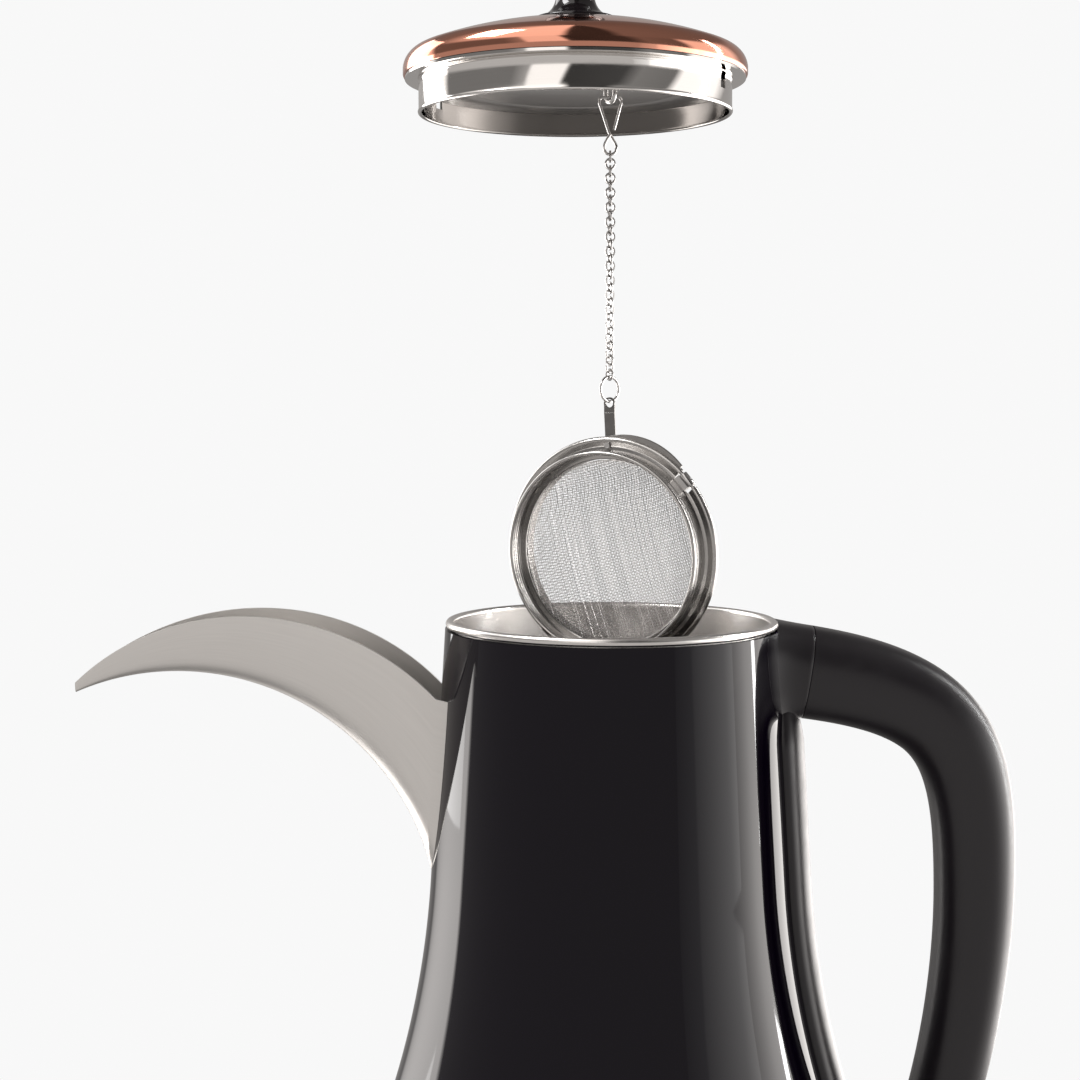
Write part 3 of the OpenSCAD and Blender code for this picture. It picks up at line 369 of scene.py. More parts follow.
def grain_group():
    """Even noise remapped between two values."""
    tree, given = node_group(SHADING, "grain", [
        ("Vector", VECTOR), ("Scale", FLOAT, 200.0), ("Low", FLOAT, 0.0), ("High", FLOAT, 1.0)],
        [("Value", FLOAT)])
    noise = add(tree, NOISE, {"Vector": given["Vector"], "Scale": given["Scale"], "Detail": 4})
    span = add(tree, SPAN, {"Value": noise["Fac"], "From Min": 0.3, "From Max": 0.7,
        "To Min": given["Low"], "To Max": given["High"]})
    add(tree, LEAVE, {"Value": span["Result"]})
    return tree


def brushed_group():
    """Fine streaks along one direction: Stretch squeezes the coordinates before the noise."""
    tree, given = node_group(SHADING, "brushed", [
        ("Vector", VECTOR), ("Stretch", VECTOR, (1.0, 1.0, 1.0)), ("Depth", FLOAT, 0.1)],
        [("Streak", FLOAT), ("Normal", VECTOR)])
    scale = add(tree, VECTOR_MATH, {0: given["Vector"], 1: given["Stretch"]}, operation="MULTIPLY")
    noise = add(tree, NOISE, {"Vector": scale["Vector"], "Scale": 1, "Detail": 3})
    bump = add(tree, BUMP, {"Height": noise["Fac"], "Strength": given["Depth"], "Distance": 0.00005})
    add(tree, LEAVE, {"Streak": noise["Fac"], "Normal": bump["Normal"]})
    return tree


def smudge_group():
    """Soft patches of handling marks, stronger where two noises meet."""
    tree, given = node_group(SHADING, "smudge", [
        ("Vector", VECTOR), ("Size", FLOAT, 20.0)], [("Mask", FLOAT)])
    wide = add(tree, NOISE, {"Vector": given["Vector"], "Scale": given["Size"]})
    finer = calc(tree, "MULTIPLY", given["Size"], 7)
    fine = add(tree, NOISE, {"Vector": given["Vector"], "Scale": finer, "Detail": 6})
    both = calc(tree, "MULTIPLY", wide["Fac"], fine["Fac"])
    ramp = add(tree, SPAN, {"Value": both, "From Min": 0.22, "From Max": 0.42})
    add(tree, LEAVE, {"Mask": ramp["Result"]})
    return tree


GRAIN, BRUSHED, SMUDGE = grain_group(), brushed_group(), smudge_group()


class Finish:
    """A material with one Principled shader and helpers that wire the groups into it."""

    def __init__(self, name, colour, metallic, roughness, coords="Object"):
        self.material = bpy.data.materials.new(name)
        self.material.use_nodes = True
        self.tree = self.material.node_tree
        self.shader = self.tree.nodes["Principled BSDF"]
        self.colour = colour
        self.roughness = roughness
        self.set("Base Color", (*colour, 1))
        self.set("Metallic", metallic)
        self.set("Roughness", roughness)
        self.where = add(self.tree, COORDS)[coords]

    def set(self, socket, value):
        self.shader.inputs[socket].default_value = value
        return self

    def lead(self, output, socket):
        self.tree.links.new(output, self.shader.inputs[socket])
        return self

    def group(self, tree, **values):
        return add(self.tree, GROUP, {"Vector": self.where, **values}, node_tree=tree)

    def vary_roughness(self, spread, size):
        """Handling marks raise the roughness."""
        mask = self.group(SMUDGE, Size=size)["Mask"]
        low, high = self.roughness, self.roughness + spread
        span = add(self.tree, SPAN, {"Value": mask, "To Min": low, "To Max": high})
        return self.lead(span["Result"], "Roughness")

    def vary_colour(self, other, size):
        """Mixes the colour with another by grain."""
        return self.mix(self.group(GRAIN, Scale=size, High=0.5)["Value"], other)

    def mix(self, factor, other):
        return self.lead(blend(self.tree, factor, (*self.colour, 1), (*other, 1)), "Base Color")

    def inside(self, x, radius, other, soft=0.15):
        """Painted shade: another colour on the side that faces an upright axis at x, so that side looks
        shaded.
        """
        where = add(self.tree, COORDS)["Object"]
        level = add(self.tree, VECTOR_MATH, {0: where, 1: (1, 1, 0), 2: (-x * MM, 0, 0)},
            operation="MULTIPLY_ADD")
        reach = add(self.tree, VECTOR_MATH, {0: level["Vector"]}, operation="LENGTH")
        mask = add(self.tree, SPAN, {"Value": reach["Value"],
            "From Min": (radius + soft) * MM, "From Max": (radius - soft) * MM})
        before = self.shader.inputs["Base Color"].links[0].from_socket
        return self.lead(blend(self.tree, mask["Result"], before, (*other, 1)), "Base Color")

    def pebble(self, size, strength, distance=0.00004):
        """A fine even surface texture."""
        height = self.group(GRAIN, Scale=size)["Value"]
        bump = add(self.tree, BUMP, {"Height": height, "Strength": strength, "Distance": distance})
        return self.lead(bump["Normal"], "Normal")

    def brush(self, stretch, depth, other):
        """Streaks in the surface and in the colour."""
        streaks = self.group(BRUSHED, Stretch=stretch, Depth=depth)
        return self.lead(streaks["Normal"], "Normal").mix(streaks["Streak"], other)


FINISHES = {
    "enamel": Finish("black_enamel", (0.0012, 0.0002, 0.0026), 0, 0.03).set("IOR", 1.32)
        .vary_roughness(0.03, 25),
    "spout": Finish("satin_spout", (0.80, 0.775, 0.75), 1, 0.34, "UV")
        .brush((300.0, 6.0, 1.0), 0.10, (0.72, 0.70, 0.675)).vary_roughness(0.08, 3),
    "vessel": Finish("brushed_vessel", (0.74, 0.72, 0.70), 1, 0.26, "UV")
        .brush((3.0, 400.0, 1.0), 0.12, (0.65, 0.63, 0.61)).vary_roughness(0.02, 6),
    "grip": Finish("satin_handle", (0.0075, 0.0055, 0.0075), 0, 0.33).pebble(2600, 0.10)
        .vary_roughness(0.07, 30),
    "filler": Finish("handle_filler", (0.20, 0.20, 0.21), 0, 0.6).vary_colour((0.15, 0.15, 0.16), 150),
    "zinc": Finish("zinc_steel", (0.58, 0.58, 0.60), 1, 0.3).vary_colour((0.48, 0.49, 0.52), 300),
    "seal": Finish("white_silicone", (0.78, 0.78, 0.75), 0, 0.55).pebble(900, 0.2),
    "aluminium": Finish("cast_aluminium", (0.66, 0.67, 0.69), 1, 0.5).pebble(700, 0.5, 0.0001),
    "sheath": Finish("element_sheath", (0.26, 0.25, 0.25), 1, 0.45).vary_colour((0.16, 0.14, 0.15), 90),
    "ceramic": Finish("ceramic_cream", (0.72, 0.68, 0.58), 0, 0.5).pebble(800, 0.25),
    "fuse": Finish("fuse_metal", (0.68, 0.68, 0.70), 1, 0.35).vary_colour((0.55, 0.55, 0.58), 250),
    "plastic": Finish("black_plastic", (0.014, 0.014, 0.015), 0, 0.38).pebble(1800, 0.22)
        .vary_roughness(0.08, 25),
    "rubber": Finish("black_rubber", (0.022, 0.022, 0.022), 0, 0.75).pebble(1200, 0.4),
    "copper": Finish("rose_copper", (0.66, 0.30, 0.21), 1, 0.08, "UV")
        .brush((2.0, 260.0, 1.0), 0.02, (0.62, 0.27, 0.18)).vary_roughness(0.05, 5),
    "gloss": Finish("gloss_black", (0.008, 0.006, 0.007), 0, 0.08).vary_roughness(0.05, 60),
    # The skirt's inner wall gets a darker colour (0.25, 0.24, 0.23): painted shade inside the skirt.
    "polished": Finish("polished_steel", (0.74, 0.72, 0.70), 1, 0.06, "UV")
        .brush((4.0, 500.0, 1.0), 0.03, (0.68, 0.66, 0.64)).vary_roughness(0.05, 8)
        .inside(LID[0], SKIRT_R - 0.3, (0.25, 0.24, 0.23)),
    "satin": Finish("satin_underside", (0.50, 0.48, 0.47), 1, 0.30, "UV")
        .brush((3.0, 500.0, 1.0), 0.12, (0.42, 0.41, 0.40)),
    "wire": Finish("bright_wire", (0.56, 0.55, 0.54), 1, 0.2).vary_colour((0.40, 0.39, 0.39), 400),
    "tab": Finish("dull_tab", (0.20, 0.195, 0.19), 1, 0.35).vary_colour((0.13, 0.125, 0.12), 500),
    "ring": Finish("pressed_ring", (0.50, 0.485, 0.47), 1, 0.22, "UV")
        .brush((4.0, 700.0, 1.0), 0.10, (0.41, 0.40, 0.39)).vary_roughness(0.08, 9),
    "lip": Finish("rim_lip", (0.34, 0.33, 0.32), 1, 0.28).vary_colour((0.26, 0.25, 0.245), 400),
    "weave": Finish("woven_wire", (0.56, 0.54, 0.53), 1, 0.32).vary_colour((0.44, 0.42, 0.41), 300),
    "board": Finish("board_green", (0.02, 0.12, 0.06), 0, 0.35).vary_colour((0.03, 0.17, 0.08), 350),
    "switch": Finish("switch_grey", (0.11, 0.11, 0.12), 0, 0.5).pebble(900, 0.2),
    "lamp": Finish("lamp_amber", (0.80, 0.34, 0.08), 0, 0.2).vary_colour((0.70, 0.26, 0.05), 400),
    "lens": Finish("lens_red", (0.62, 0.05, 0.02), 0, 0.08).pebble(500, 0.05)
        .set("Transmission Weight", 0.5),
    "button": Finish("button_copper", (0.62, 0.32, 0.22), 1, 0.25).vary_roughness(0.08, 50),
}
LOOK = {key: finish.material for key, finish in FINISHES.items()}


# Geometry Nodes trees

def mesh_group(name, *inputs):
    return node_group(SHAPING, name, [("Geometry", SHAPE), *inputs], [("Geometry", SHAPE)])


def painted(tree, mesh, material):
    paint = add(tree, "GeometryNodeSetMaterial", {"Geometry": mesh, "Material": material})
    add(tree, LEAVE, {"Geometry": paint["Geometry"]})
    return tree


def copies(tree, points, instance, **more):
    made = add(tree, "GeometryNodeInstanceOnPoints", {"Points": points, "Instance": instance, **more})
    return add(tree, "GeometryNodeRealizeInstances", {"Geometry": made["Instances"]})["Geometry"]


def run_tree(obj, tree, **values):
    """Runs a tree on obj and keeps the plain mesh."""
    step = obj.modifiers.new(tree.name, "NODES")
    step.node_group = tree
    names = {item.name: item.identifier for item in tree.interface.items_tree if item.in_out == "INPUT"}
    for key, value in values.items():
        step[names[key.replace("_", " ")]] = value
    obj.update_tag()
    bpy.context.view_layer.update()
    return bake(obj)


def sweep_tree():
    """Round wire along every edge line of the mesh that comes in."""
    tree, given = mesh_group("wire_sweep", ("Wire radius", FLOAT), ("Sides", WHOLE), ("Material", PAINT))
    curve = add(tree, "GeometryNodeMeshToCurve", {"Mesh": given["Geometry"]})
    ring = add(tree, CIRCLE, {"Resolution": given["Sides"], "Radius": given["Wire radius"]})
    tube = add(tree, TUBE, {"Curve": curve["Curve"], "Profile Curve": ring["Curve"], "Fill Caps": True})
    return painted(tree, tube["Mesh"], given["Material"])


def chain_tree():
    """A row of oval links, each turned on from the one above it."""
    tree, given = mesh_group("chain_row", ("Links", WHOLE), ("Pitch", FLOAT), ("First turn", FLOAT),
        ("Turn step", FLOAT), ("Half width", FLOAT), ("Stretch", FLOAT), ("Wire radius", FLOAT),
        ("Material", PAINT))
    loop = add(tree, CIRCLE, {"Resolution": 14, "Radius": given["Half width"]})
    size = add(tree, XYZ, {"X": 1, "Y": given["Stretch"], "Z": 1})
    upright = add(tree, "GeometryNodeTransform", {"Geometry": loop["Curve"],
        "Rotation": (math.pi / 2, 0, 0), "Scale": size["Vector"]})
    wire = add(tree, CIRCLE, {"Resolution": 6, "Radius": given["Wire radius"]})
    link = add(tree, TUBE, {"Curve": upright["Geometry"], "Profile Curve": wire["Curve"]})
    step = add(tree, XYZ, {"Z": calc(tree, "MULTIPLY", given["Pitch"], -1)})
    row = add(tree, "GeometryNodeMeshLine", {"Count": given["Links"], "Offset": step["Vector"]})
    number = add(tree, "GeometryNodeInputIndex")["Index"]
    turn = calc(tree, "MULTIPLY", number, given["Turn step"])
    spin = add(tree, XYZ, {"Z": calc(tree, "ADD", turn, given["First turn"])})
    links = copies(tree, row["Mesh"], link["Mesh"], Rotation=spin["Vector"])
    return painted(tree, links, given["Material"])


def holes_tree():
    """Rods in a ring round one in the middle: the cutters of a strainer's holes."""
    tree, given = mesh_group("strainer_rods", ("Rods", WHOLE), ("Ring radius", FLOAT), ("Rod radius", FLOAT),
        ("Length", FLOAT))
    ring = add(tree, "GeometryNodeMeshCircle", {"Vertices": given["Rods"], "Radius": given["Ring radius"]})
    middle = add(tree, "GeometryNodeMeshLine", {"Count": 1})
    both = add(tree, "GeometryNodeJoinGeometry", {"Geometry": [ring["Mesh"], middle["Mesh"]]})
    rod = add(tree, "GeometryNodeMeshCylinder", {"Vertices": 20, "Radius": given["Rod radius"],
        "Depth": given["Length"]})
    add(tree, LEAVE, {"Geometry": copies(tree, both["Geometry"], rod["Mesh"])})
    return tree


SWEEP, CHAIN, HOLES = sweep_tree(), chain_tree(), holes_tree()


def wires(name, lines, radius, sides, look, closed=False):
    """Round wires along lines of millimetre points."""
    verts, edges = [], []
    for line in lines:
        start = len(verts)
        verts.extend(tuple(float(c) * MM for c in p) for p in line)
        edges.extend((start + i, start + i + 1) for i in range(len(line) - 1))
        if closed:
            edges.append((len(verts) - 1, start))
    mesh = bpy.data.meshes.new(name)
    mesh.from_pydata(verts, edges, [])
    obj = run_tree(new_object(name, mesh), SWEEP, Wire_radius=radius * MM, Sides=sides,
        Material=LOOK[look])
    return tidy(obj, 60)


# Pot

def body_line(inset, depth, corner, start):
    """The body's side as (radius, height above the rim), from a depth down to where its floor begins."""
    normal = np.array([1, -TAPER]) / math.hypot(1, TAPER)
    centre = np.array([RIM_R + TAPER * TAPER_DEPTH, TAPER_DEPTH]) + FLARE * normal
    bend = centre - (FLARE + inset) * normal
    low = depth - corner
    side = centre[0] - math.sqrt((FLARE + inset + corner) ** 2 - (low - centre[1]) ** 2)
    way = np.array([side, low]) - centre
    touch = centre + (FLARE + inset) * way / np.linalg.norm(way)
    line = [(bend[0] - TAPER * (bend[1] - d), d) for d in np.linspace(start, bend[1], 16)]

    def angle(p, q):
        return math.degrees(math.atan2(p[1] - q[1], p[0] - q[0]))

    line += arc(centre, FLARE + inset, angle(bend, centre), angle(touch, centre), 48)[1:]
    line += arc((side, low), corner, angle(touch, (side, low)), 90, 28)[1:]
    return [(r, -d) for r, d in line]


def to_spout(cutter, x):
    """Lays an upright cutter along X at the height of the pouring hole; x is its middle, in metres."""
    place = Matrix.Translation((x, 0, (RIM - POUR_DEPTH) * MM))
    cutter.data.transform(place @ Matrix.Rotation(math.pi / 2, 4, "Y"))
    return cutter


def pot():
    outer = body_line(0, SHELL_DEPTH, BULGE, SHELL_TOP)
    inner = body_line(SHELL_WALL, SHELL_DEPTH - SHELL_WALL, BULGE - SHELL_WALL, SHELL_TOP)
    loop = outer + [(FLOOR_HOLE, -SHELL_DEPTH), (FLOOR_HOLE, SHELL_WALL - SHELL_DEPTH)] + inner[::-1]
    shell = turned("shell", loop, (0, 0, RIM), 240)
    rod = reshape(bpy.data.meshes.new("cutter"), lambda work: bmesh.ops.create_cone(
        work, cap_ends=True, segments=64, radius1=POUR_R * MM, radius2=POUR_R * MM, depth=0.1))
    cut(shell, to_spout(new_object("cutter", rod), -0.05))
    give(tidy(shell), "pot", "black_enamel", "enamel", "outer_shell")

    roll = (RIM_R - NECK_IN) / 2
    inset = VESSEL_INSET + VESSEL_WALL
    inner = body_line(inset, VESSEL_DEPTH - VESSEL_WALL, VESSEL_CORNER - VESSEL_WALL, NECK_DEPTH)
    outer = body_line(VESSEL_INSET, VESSEL_DEPTH, VESSEL_CORNER, NECK_DEPTH)
    neck_out = NECK_IN + VESSEL_WALL
    step = -NECK_DEPTH + VESSEL_WALL
    line = [(0, VESSEL_WALL - VESSEL_DEPTH)] + inner[::-1]
    line += [(NECK_IN - 0.5, step), (NECK_IN - 0.15, step + 0.15), (NECK_IN, step + 0.5)]
    line += arc((NECK_IN + roll, -roll), roll, 180, -40, 22)
    line += [(neck_out, -2 * roll), (neck_out, -NECK_DEPTH)] + outer + [(0, -VESSEL_DEPTH)]
    vessel = turned("vessel", line, (0, 0, RIM), 192, closed=False)
    rods = run_tree(new_object("cutter", bpy.data.meshes.new("cutter")), HOLES, Rods=6,
        Ring_radius=(POUR_R - HOLE_R - 1) * MM, Rod_radius=HOLE_R * MM, Length=0.04)
    cut(vessel, to_spout(rods, -0.036))
    give(tidy(vessel), "pot", "vessel_steel", "vessel", "inner_vessel")


# Spout and grip, as stacks of lines across them

def arc_between(p, q, radius, share):
    """Point of the arc that bulges upward from p to q."""
    p, q = np.array(p, float), np.array(q, float)
    d = q - p
    drop = math.sqrt(radius ** 2 - d @ d / 4)
    centre = (p + q) / 2 + drop * np.array([-d[1], d[0]]) / np.linalg.norm(d)
    a = math.atan2(*(p - centre)[::-1])
    b = math.atan2(*(q - centre)[::-1])
    t = a + (b - a) * share
    return centre + radius * np.array([math.cos(t), math.sin(t)])


def power(value, exponent):
    return math.copysign(abs(value) ** exponent, value)


def spout_line(share, wall):
    """Line across the spout, open at the top."""
    top = arc_between(*SPOUT_TOP, share)
    keel = arc_between(*SPOUT_KEEL, share)
    half = SPOUT_TIP + SPOUT_SWELL * (1 - share ** 2)
    height = np.linalg.norm(keel - top)
    skin = min(wall, 0.3 * half, 0.3 * height)
    line = []
    for j in range(SPOUT_SIDES + 1):
        a = math.pi * j / SPOUT_SIDES
        p = top + (keel - top) * power(math.sin(a), 2 / SPOUT_ROUND) * (1 - skin / height)
        y = (half - skin) * power(math.cos(a), 2 / SPOUT_ROUND)
        radius = RIM_R - TAPER * p[1] + GAP
        x = -math.sqrt(radius ** 2 - y * y) if share == 0 else p[0]
        line.append((x, y, RIM + p[1]))
    return line


def wall_between(name, outer, inner):
    """A closed wall between two stacks of open lines."""
    rows, cols = len(outer), len(outer[0])
    grid = np.array([a + b[::-1] for a, b in zip(outer, inner)], float)
    ring = 2 * cols
    verts = grid.reshape(-1, 3)
    faces, uvs = [], []
    for i in range(rows - 1):
        for j in range(ring):
            k = (j + 1) % ring
            faces.append([i * ring + j, i * ring + k, (i + 1) * ring + k, (i + 1) * ring + j])
            u, v = j / ring, i / rows
            uvs += [(u, v), (u + 1 / ring, v), (u + 1 / ring, v + 1 / rows), (u, v + 1 / rows)]
    for i in (0, rows - 1):
        for j in range(cols - 1):
            face = [i * ring + j, i * ring + j + 1, i * ring + ring - 2 - j, i * ring + ring - 1 - j]
            faces.append(face)
            uvs += [(0, 0)] * 4
    return make(name, verts, faces, uvs, 42)


def spout():
    shares = np.linspace(0, 1, ROWS)
    outer, inner = ([spout_line(s, wall) for s in shares] for wall in (0, SPOUT_WALL))
    give(wall_between("beak", outer, inner), "pot", "spout_steel", "spout", "spout")


def grip_line(share, wall, turn):
    """Line across one half of the grip; turn is -1 for the front half and 1 for the back."""
    c, t = (GRIP_A, 2 * share) if share < 0.5 else (GRIP_B, 2 * share - 1)
    s = 1 - t
    place = c[0] * s ** 3 + c[1] * 3 * t * s ** 2 + c[2] * 3 * t ** 2 * s + c[3] * t ** 3
    way = (c[1] - c[0]) * s ** 2 + (c[2] - c[1]) * 2 * t * s + (c[3] - c[2]) * t ** 2
    way = way / np.linalg.norm(way)
    thick = (GRIP_THICK - GRIP_TAPER * share) / 2 - wall
    width = GRIP_HALF - wall
    line = []
    for j in range(GRIP_SIDES + 1):
        a = math.pi * j / GRIP_SIDES
        p = place + np.array([way[1], -way[0]]) * thick * power(math.cos(a), GRIP_ROUND)
        line.append((p[0], turn * (GAP + width * power(math.sin(a), GRIP_ROUND)), RIM - p[1]))
    return line


def grips():
    shares = np.linspace(0, 1, ROWS)
    for name, node, turn in (("grip_near", "grip_front", -1), ("grip_far", "grip_back", 1)):
        outer, inner = ([grip_line(s, wall, turn) for s in shares] for wall in (0, GRIP_WALL))
        give(wall_between(name, outer, inner), "pot", "black_handle", "grip", node)


BODY_SIDE = np.array(body_line(0, SHELL_DEPTH, BULGE, 0))


def body_radius(depth):
    return np.interp(depth, -BODY_SIDE[:, 1], BODY_SIDE[:, 0])


def strip_share(depth):
    """Share of the strip's full section: it shrinks towards its two rounded ends."""
    top = min(max((depth - STRIP_TOP) / STRIP_GROWS, 0), 1)
    low = min((STRIP_LOW - depth) / STRIP_ENDS, 1)
    return top * top * (3 - 2 * top) * math.sqrt(max(1 - (1 - low) ** 2, 0))


def root_surface(y, depth):
    """Distance of the strip's or the body's surface from the pot's axis plane."""
    r, share = body_radius(depth), strip_share(depth)
    across = min(abs(y) / (STRIP_HALF * share + 0.001), 1)
    rise = STRIP_THICK * share * (1 - across ** STRIP_ROUND) ** (1 / STRIP_ROUND)
    return math.sqrt((r + rise) ** 2 - y ** 2)


def handle_strip():
    """The rounded strip that the grip stands on, lying along the body."""
    outer, inner = [], []
    crowded = (1 - np.cos(np.pi * np.linspace(0.02, 0.98, 81))) / 2
    for depth in STRIP_TOP + (STRIP_LOW - STRIP_TOP) * crowded:
        r, share, height = body_radius(depth), strip_share(depth), RIM - depth
        near, far = [], []
        for a in np.linspace(math.pi, 0, 41):
            turn = STRIP_HALF * share * power(math.cos(a), 2 / STRIP_ROUND) / r
            rise = GAP + STRIP_THICK * share * power(math.sin(a), 2 / STRIP_ROUND)
            for line, out in ((near, rise), (far, GAP - 0.01)):
                line.append(((r + out) * math.cos(turn), (r + out) * math.sin(turn), height))
        outer.append(near)
        inner.append(far)
    return wall_between("handle_strip", outer, inner)


def grip_root(name, share, spread, top, low):
    """A flared collar between an end of the grip and what it stands on.

    spread, top and low are the shares by which it widens to the sides, upward and downward.
    """
    loop = grip_line(share, 0, -1)
    loop += [(x, -y, z) for x, y, z in loop[-2:0:-1]]
    ring = np.array(loop)
    middle = (ring[0] + ring[GRIP_SIDES]) / 2
    ahead = np.cross(ring[0] - middle, (0, 1, 0))
    ahead *= -np.sign(ahead[0]) / np.linalg.norm(ahead)
    foot, reach = [], []
    for p in ring:
        off = p - middle
        q = middle + off * (1 + spread, 1 + spread, 1 + (top if off[2] > 0 else low))
        for far in np.linspace(0, 40, 401):
            spot = q + ahead * far
            if spot[0] <= root_surface(spot[1], RIM - spot[2]):
                break
        foot.append(q)
        reach.append(far + ROOT_SINK)
    for ease in (np.max, np.mean):
        reach = ease([np.roll(reach, k) for k in range(-ROOT_EASE, ROOT_EASE + 1)], axis=0)
    way = np.array(foot) + reach[:, None] * ahead - ring
    along = (way @ ahead)[:, None] * ahead
    count, rows = len(ring), 14
    verts = []
    for t in (0, *np.linspace(0.03, 1, rows - 1)):
        around = ring + along * t + (way - along) * t ** 2
        if t == 0:
            around = middle + (around - middle) * ROOT_TUCK
        verts += list(around)
    faces = [tuple(range(count)), tuple(range((rows - 1) * count, rows * count))]
    for i in range(rows - 1):
        for k in range(count):
            n = (k + 1) % count
            faces.append((i * count + k, i * count + n, (i + 1) * count + n, (i + 1) * count + k))
    return make(name, verts, faces, sharp=60)


def handle_root():
    give(handle_strip(), "pot", "black_handle", "grip", "handle_spine")
    for root in (("upper_root", 0, 0.22, 0.02, 0.45), ("lower_root", 1, 0.25, 0.25, 0.25)):
        give(grip_root(*root), "pot", "black_handle", "grip")


# Lid

def lid():
    x, _, z = LID
    reach = LID_R - SHOULDER
    centre = CROWN - CROWN_R
    lean = math.degrees(math.atan2(LIP - centre, reach))

    def dome_line(inset):
        line = [(LID_R - inset, 0)] + arc((reach, LIP), SHOULDER - inset, 0, lean, 16)
        return line + arc((0, centre), CROWN_R - inset, lean, 90, 40)[1:]

    outer = [(LID_R - 0.5, 0), (LID_R - 0.1, 0.1), (LID_R, 0.45)] + dome_line(0)[1:]
    dome = turned("dome", dome_line(DOME_WALL)[::-1] + outer, LID, 192, closed=False)
    give(dome, "lid", "copper", "copper", "lid_dome")

    mid = SKIRT_R - SKIRT_WALL / 2
    line = [(LID_R - 0.45, -0.7), (LID_R - 0.45, -0.05), (mid - 0.3, -0.05), (mid - 0.3, -7.7)]
    line += arc((mid, -8.2), 0.5, 150, 390, 14)
    line += [(SKIRT_R, -7.6), (SKIRT_R, -2.2)] + arc((mid, -1.3), 0.5, -40, 60, 8)
    line += [(SKIRT_R + 0.05, -0.75)]
    skirt = turned("skirt", line, LID, 192)
    slots = []
    middle = Matrix.Translation((x * MM, 0, (z - SLOT_DROP) * MM))
    for turn in SLOT_TURNS:
        place = middle @ Matrix.Rotation(math.radians(turn), 4, "Z")
        slots.append(block(SLOT, place @ Matrix.Translation((SKIRT_R * MM, 0, 0))))
    cut(skirt, *slots)
    give(tidy(skirt), "lid", "polished_steel", "polished", "lid_skirt")

    edge = SKIRT_R - SKIRT_WALL - 0.1
    line = [(0, -2.45), (edge, -2.45), (edge, -2.9), (edge - 0.2, -3)]
    line += [(26, -3), (25.6, -2.85), (24.4, -2.85), (24, -3), (0, -3)]
    liner = turned("liner", line, LID, 128, closed=False)
    give(liner, "lid", "satin_steel", "satin", "lid_liner")

    foot, neck, bulb, tip = 10, 4.6, 8, CROWN + 36
    middle = 20.4 + math.sqrt(bulb ** 2 - neck ** 2)
    line = [(0, 13.2), (foot - 0.6, 12.75), (foot - 0.1, 12.85), (foot, 13.1), (foot, 13.6)]
    line += [(foot - 0.15, 13.9), (foot - 0.4, 14.0)]
    line += arc((foot, 19.4), 5.4, 262, 180, 16) + [(neck, 20.2)]
    line += arc((0, middle), bulb, -52, 30, 24)
    line += [(3.9, 40.0), (2.0, 45.6)] + arc((0, tip - 1.2), 1.2, 20, 90, 6)
    finial = turned("finial", line, LID, 96, closed=False, sharp=50)
    give(finial, "lid", "gloss_black", "gloss", "lid_finial")

    bow = [(-EYE_R * math.cos(a), -EYE_R * math.sin(a)) for a in np.linspace(0, math.pi, 25)]
    bow = [(-EYE_R, EYE_LEG), *bow, (EYE_R, EYE_LEG)]
    turn = np.array(Matrix.Rotation(math.radians(EYE_TURN), 3, "Z"))
    eye = [turn @ np.array((0, *p)) + np.array((CHAIN_X, 0, z - EYE_DROP)) for p in bow]
    obj = wires("eye", [eye], EYE_WIRE, 12, "wire")
    give(obj, "lid", "bright_wire", "wire", "chain_eye")


# Chain

CLIP = [(0.9, 0, -7.6), (1.6, 0, -5), (2.4, 0, -2), (2.65, 0, -0.9), (2.2, 0, -0.1), (1, 0, 0),
    (-1, 0, 0), (-2.2, 0, -0.1), (-2.65, 0, -0.9), (-2.3, 0, -2.2), (-1.3, 0, -5.2), (-0.3, 0, -8.2),
    (0.5, -0.2, -9.6), (1.4, -0.4, -11.4), (1.2, -0.5, -12.9), (0, -0.6, -CLIP_LOW),
    (-1.2, -0.7, -12.9), (-1.4, -0.85, -11.4), (-0.7, -0.95, -9.8), (0, -1, -8.8)]


def smooth(points, steps):
    """A smooth line through all points."""
    p = [np.array(q, float) for q in points]
    p = [p[0]] + p + [p[-1]]
    out = []
    for i in range(len(points) - 1):
        a, b, c, d = p[i:i + 4]
        for k in range(steps):
            t = k / steps
            bend, twist = 2 * a - 5 * b + 4 * c - d, 3 * b - a - 3 * c + d
            out.append(0.5 * (2 * b + (c - a) * t + bend * t ** 2 + twist * t ** 3))
    return out + [p[-1]]


def chain():
    line = [p + np.array((CHAIN_X, 0, CLIP_Z)) for p in smooth(CLIP, 5)]
    obj = wires("clip", [line], CLIP_WIRE, 10, "wire")
    give(obj, "clip", "bright_wire", "wire", "chain_clip")
    step = math.radians(LINK_STEP)
    for name, node, body, first, last in (("links_upper", "chain_upper", "upper_chain", 0, LINK_SPLIT),
            ("links_lower", "chain_lower", "lower_chain", LINK_SPLIT, LINK_COUNT)):
        obj = run_tree(new_object(name, bpy.data.meshes.new(name)), CHAIN, Links=last - first,
            Pitch=LINK_PITCH * MM, First_turn=math.radians(90) + first * step, Turn_step=step,
            Half_width=LINK_HALF * MM, Stretch=LINK_LONG / LINK_HALF, Wire_radius=LINK_WIRE * MM,
            Material=LOOK["wire"])
        height = LINK_Z - first * LINK_PITCH
        obj.data.transform(Matrix.Translation((CHAIN_X * MM, CHAIN_Y * MM, height * MM)))
        give(tidy(obj, 60), body, "bright_wire", "wire", node)
    turn = np.array(Matrix.Rotation(math.radians(JUMP_TURN), 3, "Z"))
    angles = np.linspace(0, 2 * math.pi, 49)[:-1]
    ring = [turn @ np.array((JUMP_R * math.cos(a), 0, JUMP_R * math.sin(a))) for a in angles]
    ring = [p + np.array((CHAIN_X, CHAIN_Y, JUMP_Z)) for p in ring]
    obj = wires("jump_ring", [ring], CLIP_WIRE, 10, "wire", closed=True)
    give(obj, "lower_chain", "bright_wire", "wire", "ball_link")


# Strainer ball: built facing -Y about its own centre, then placed

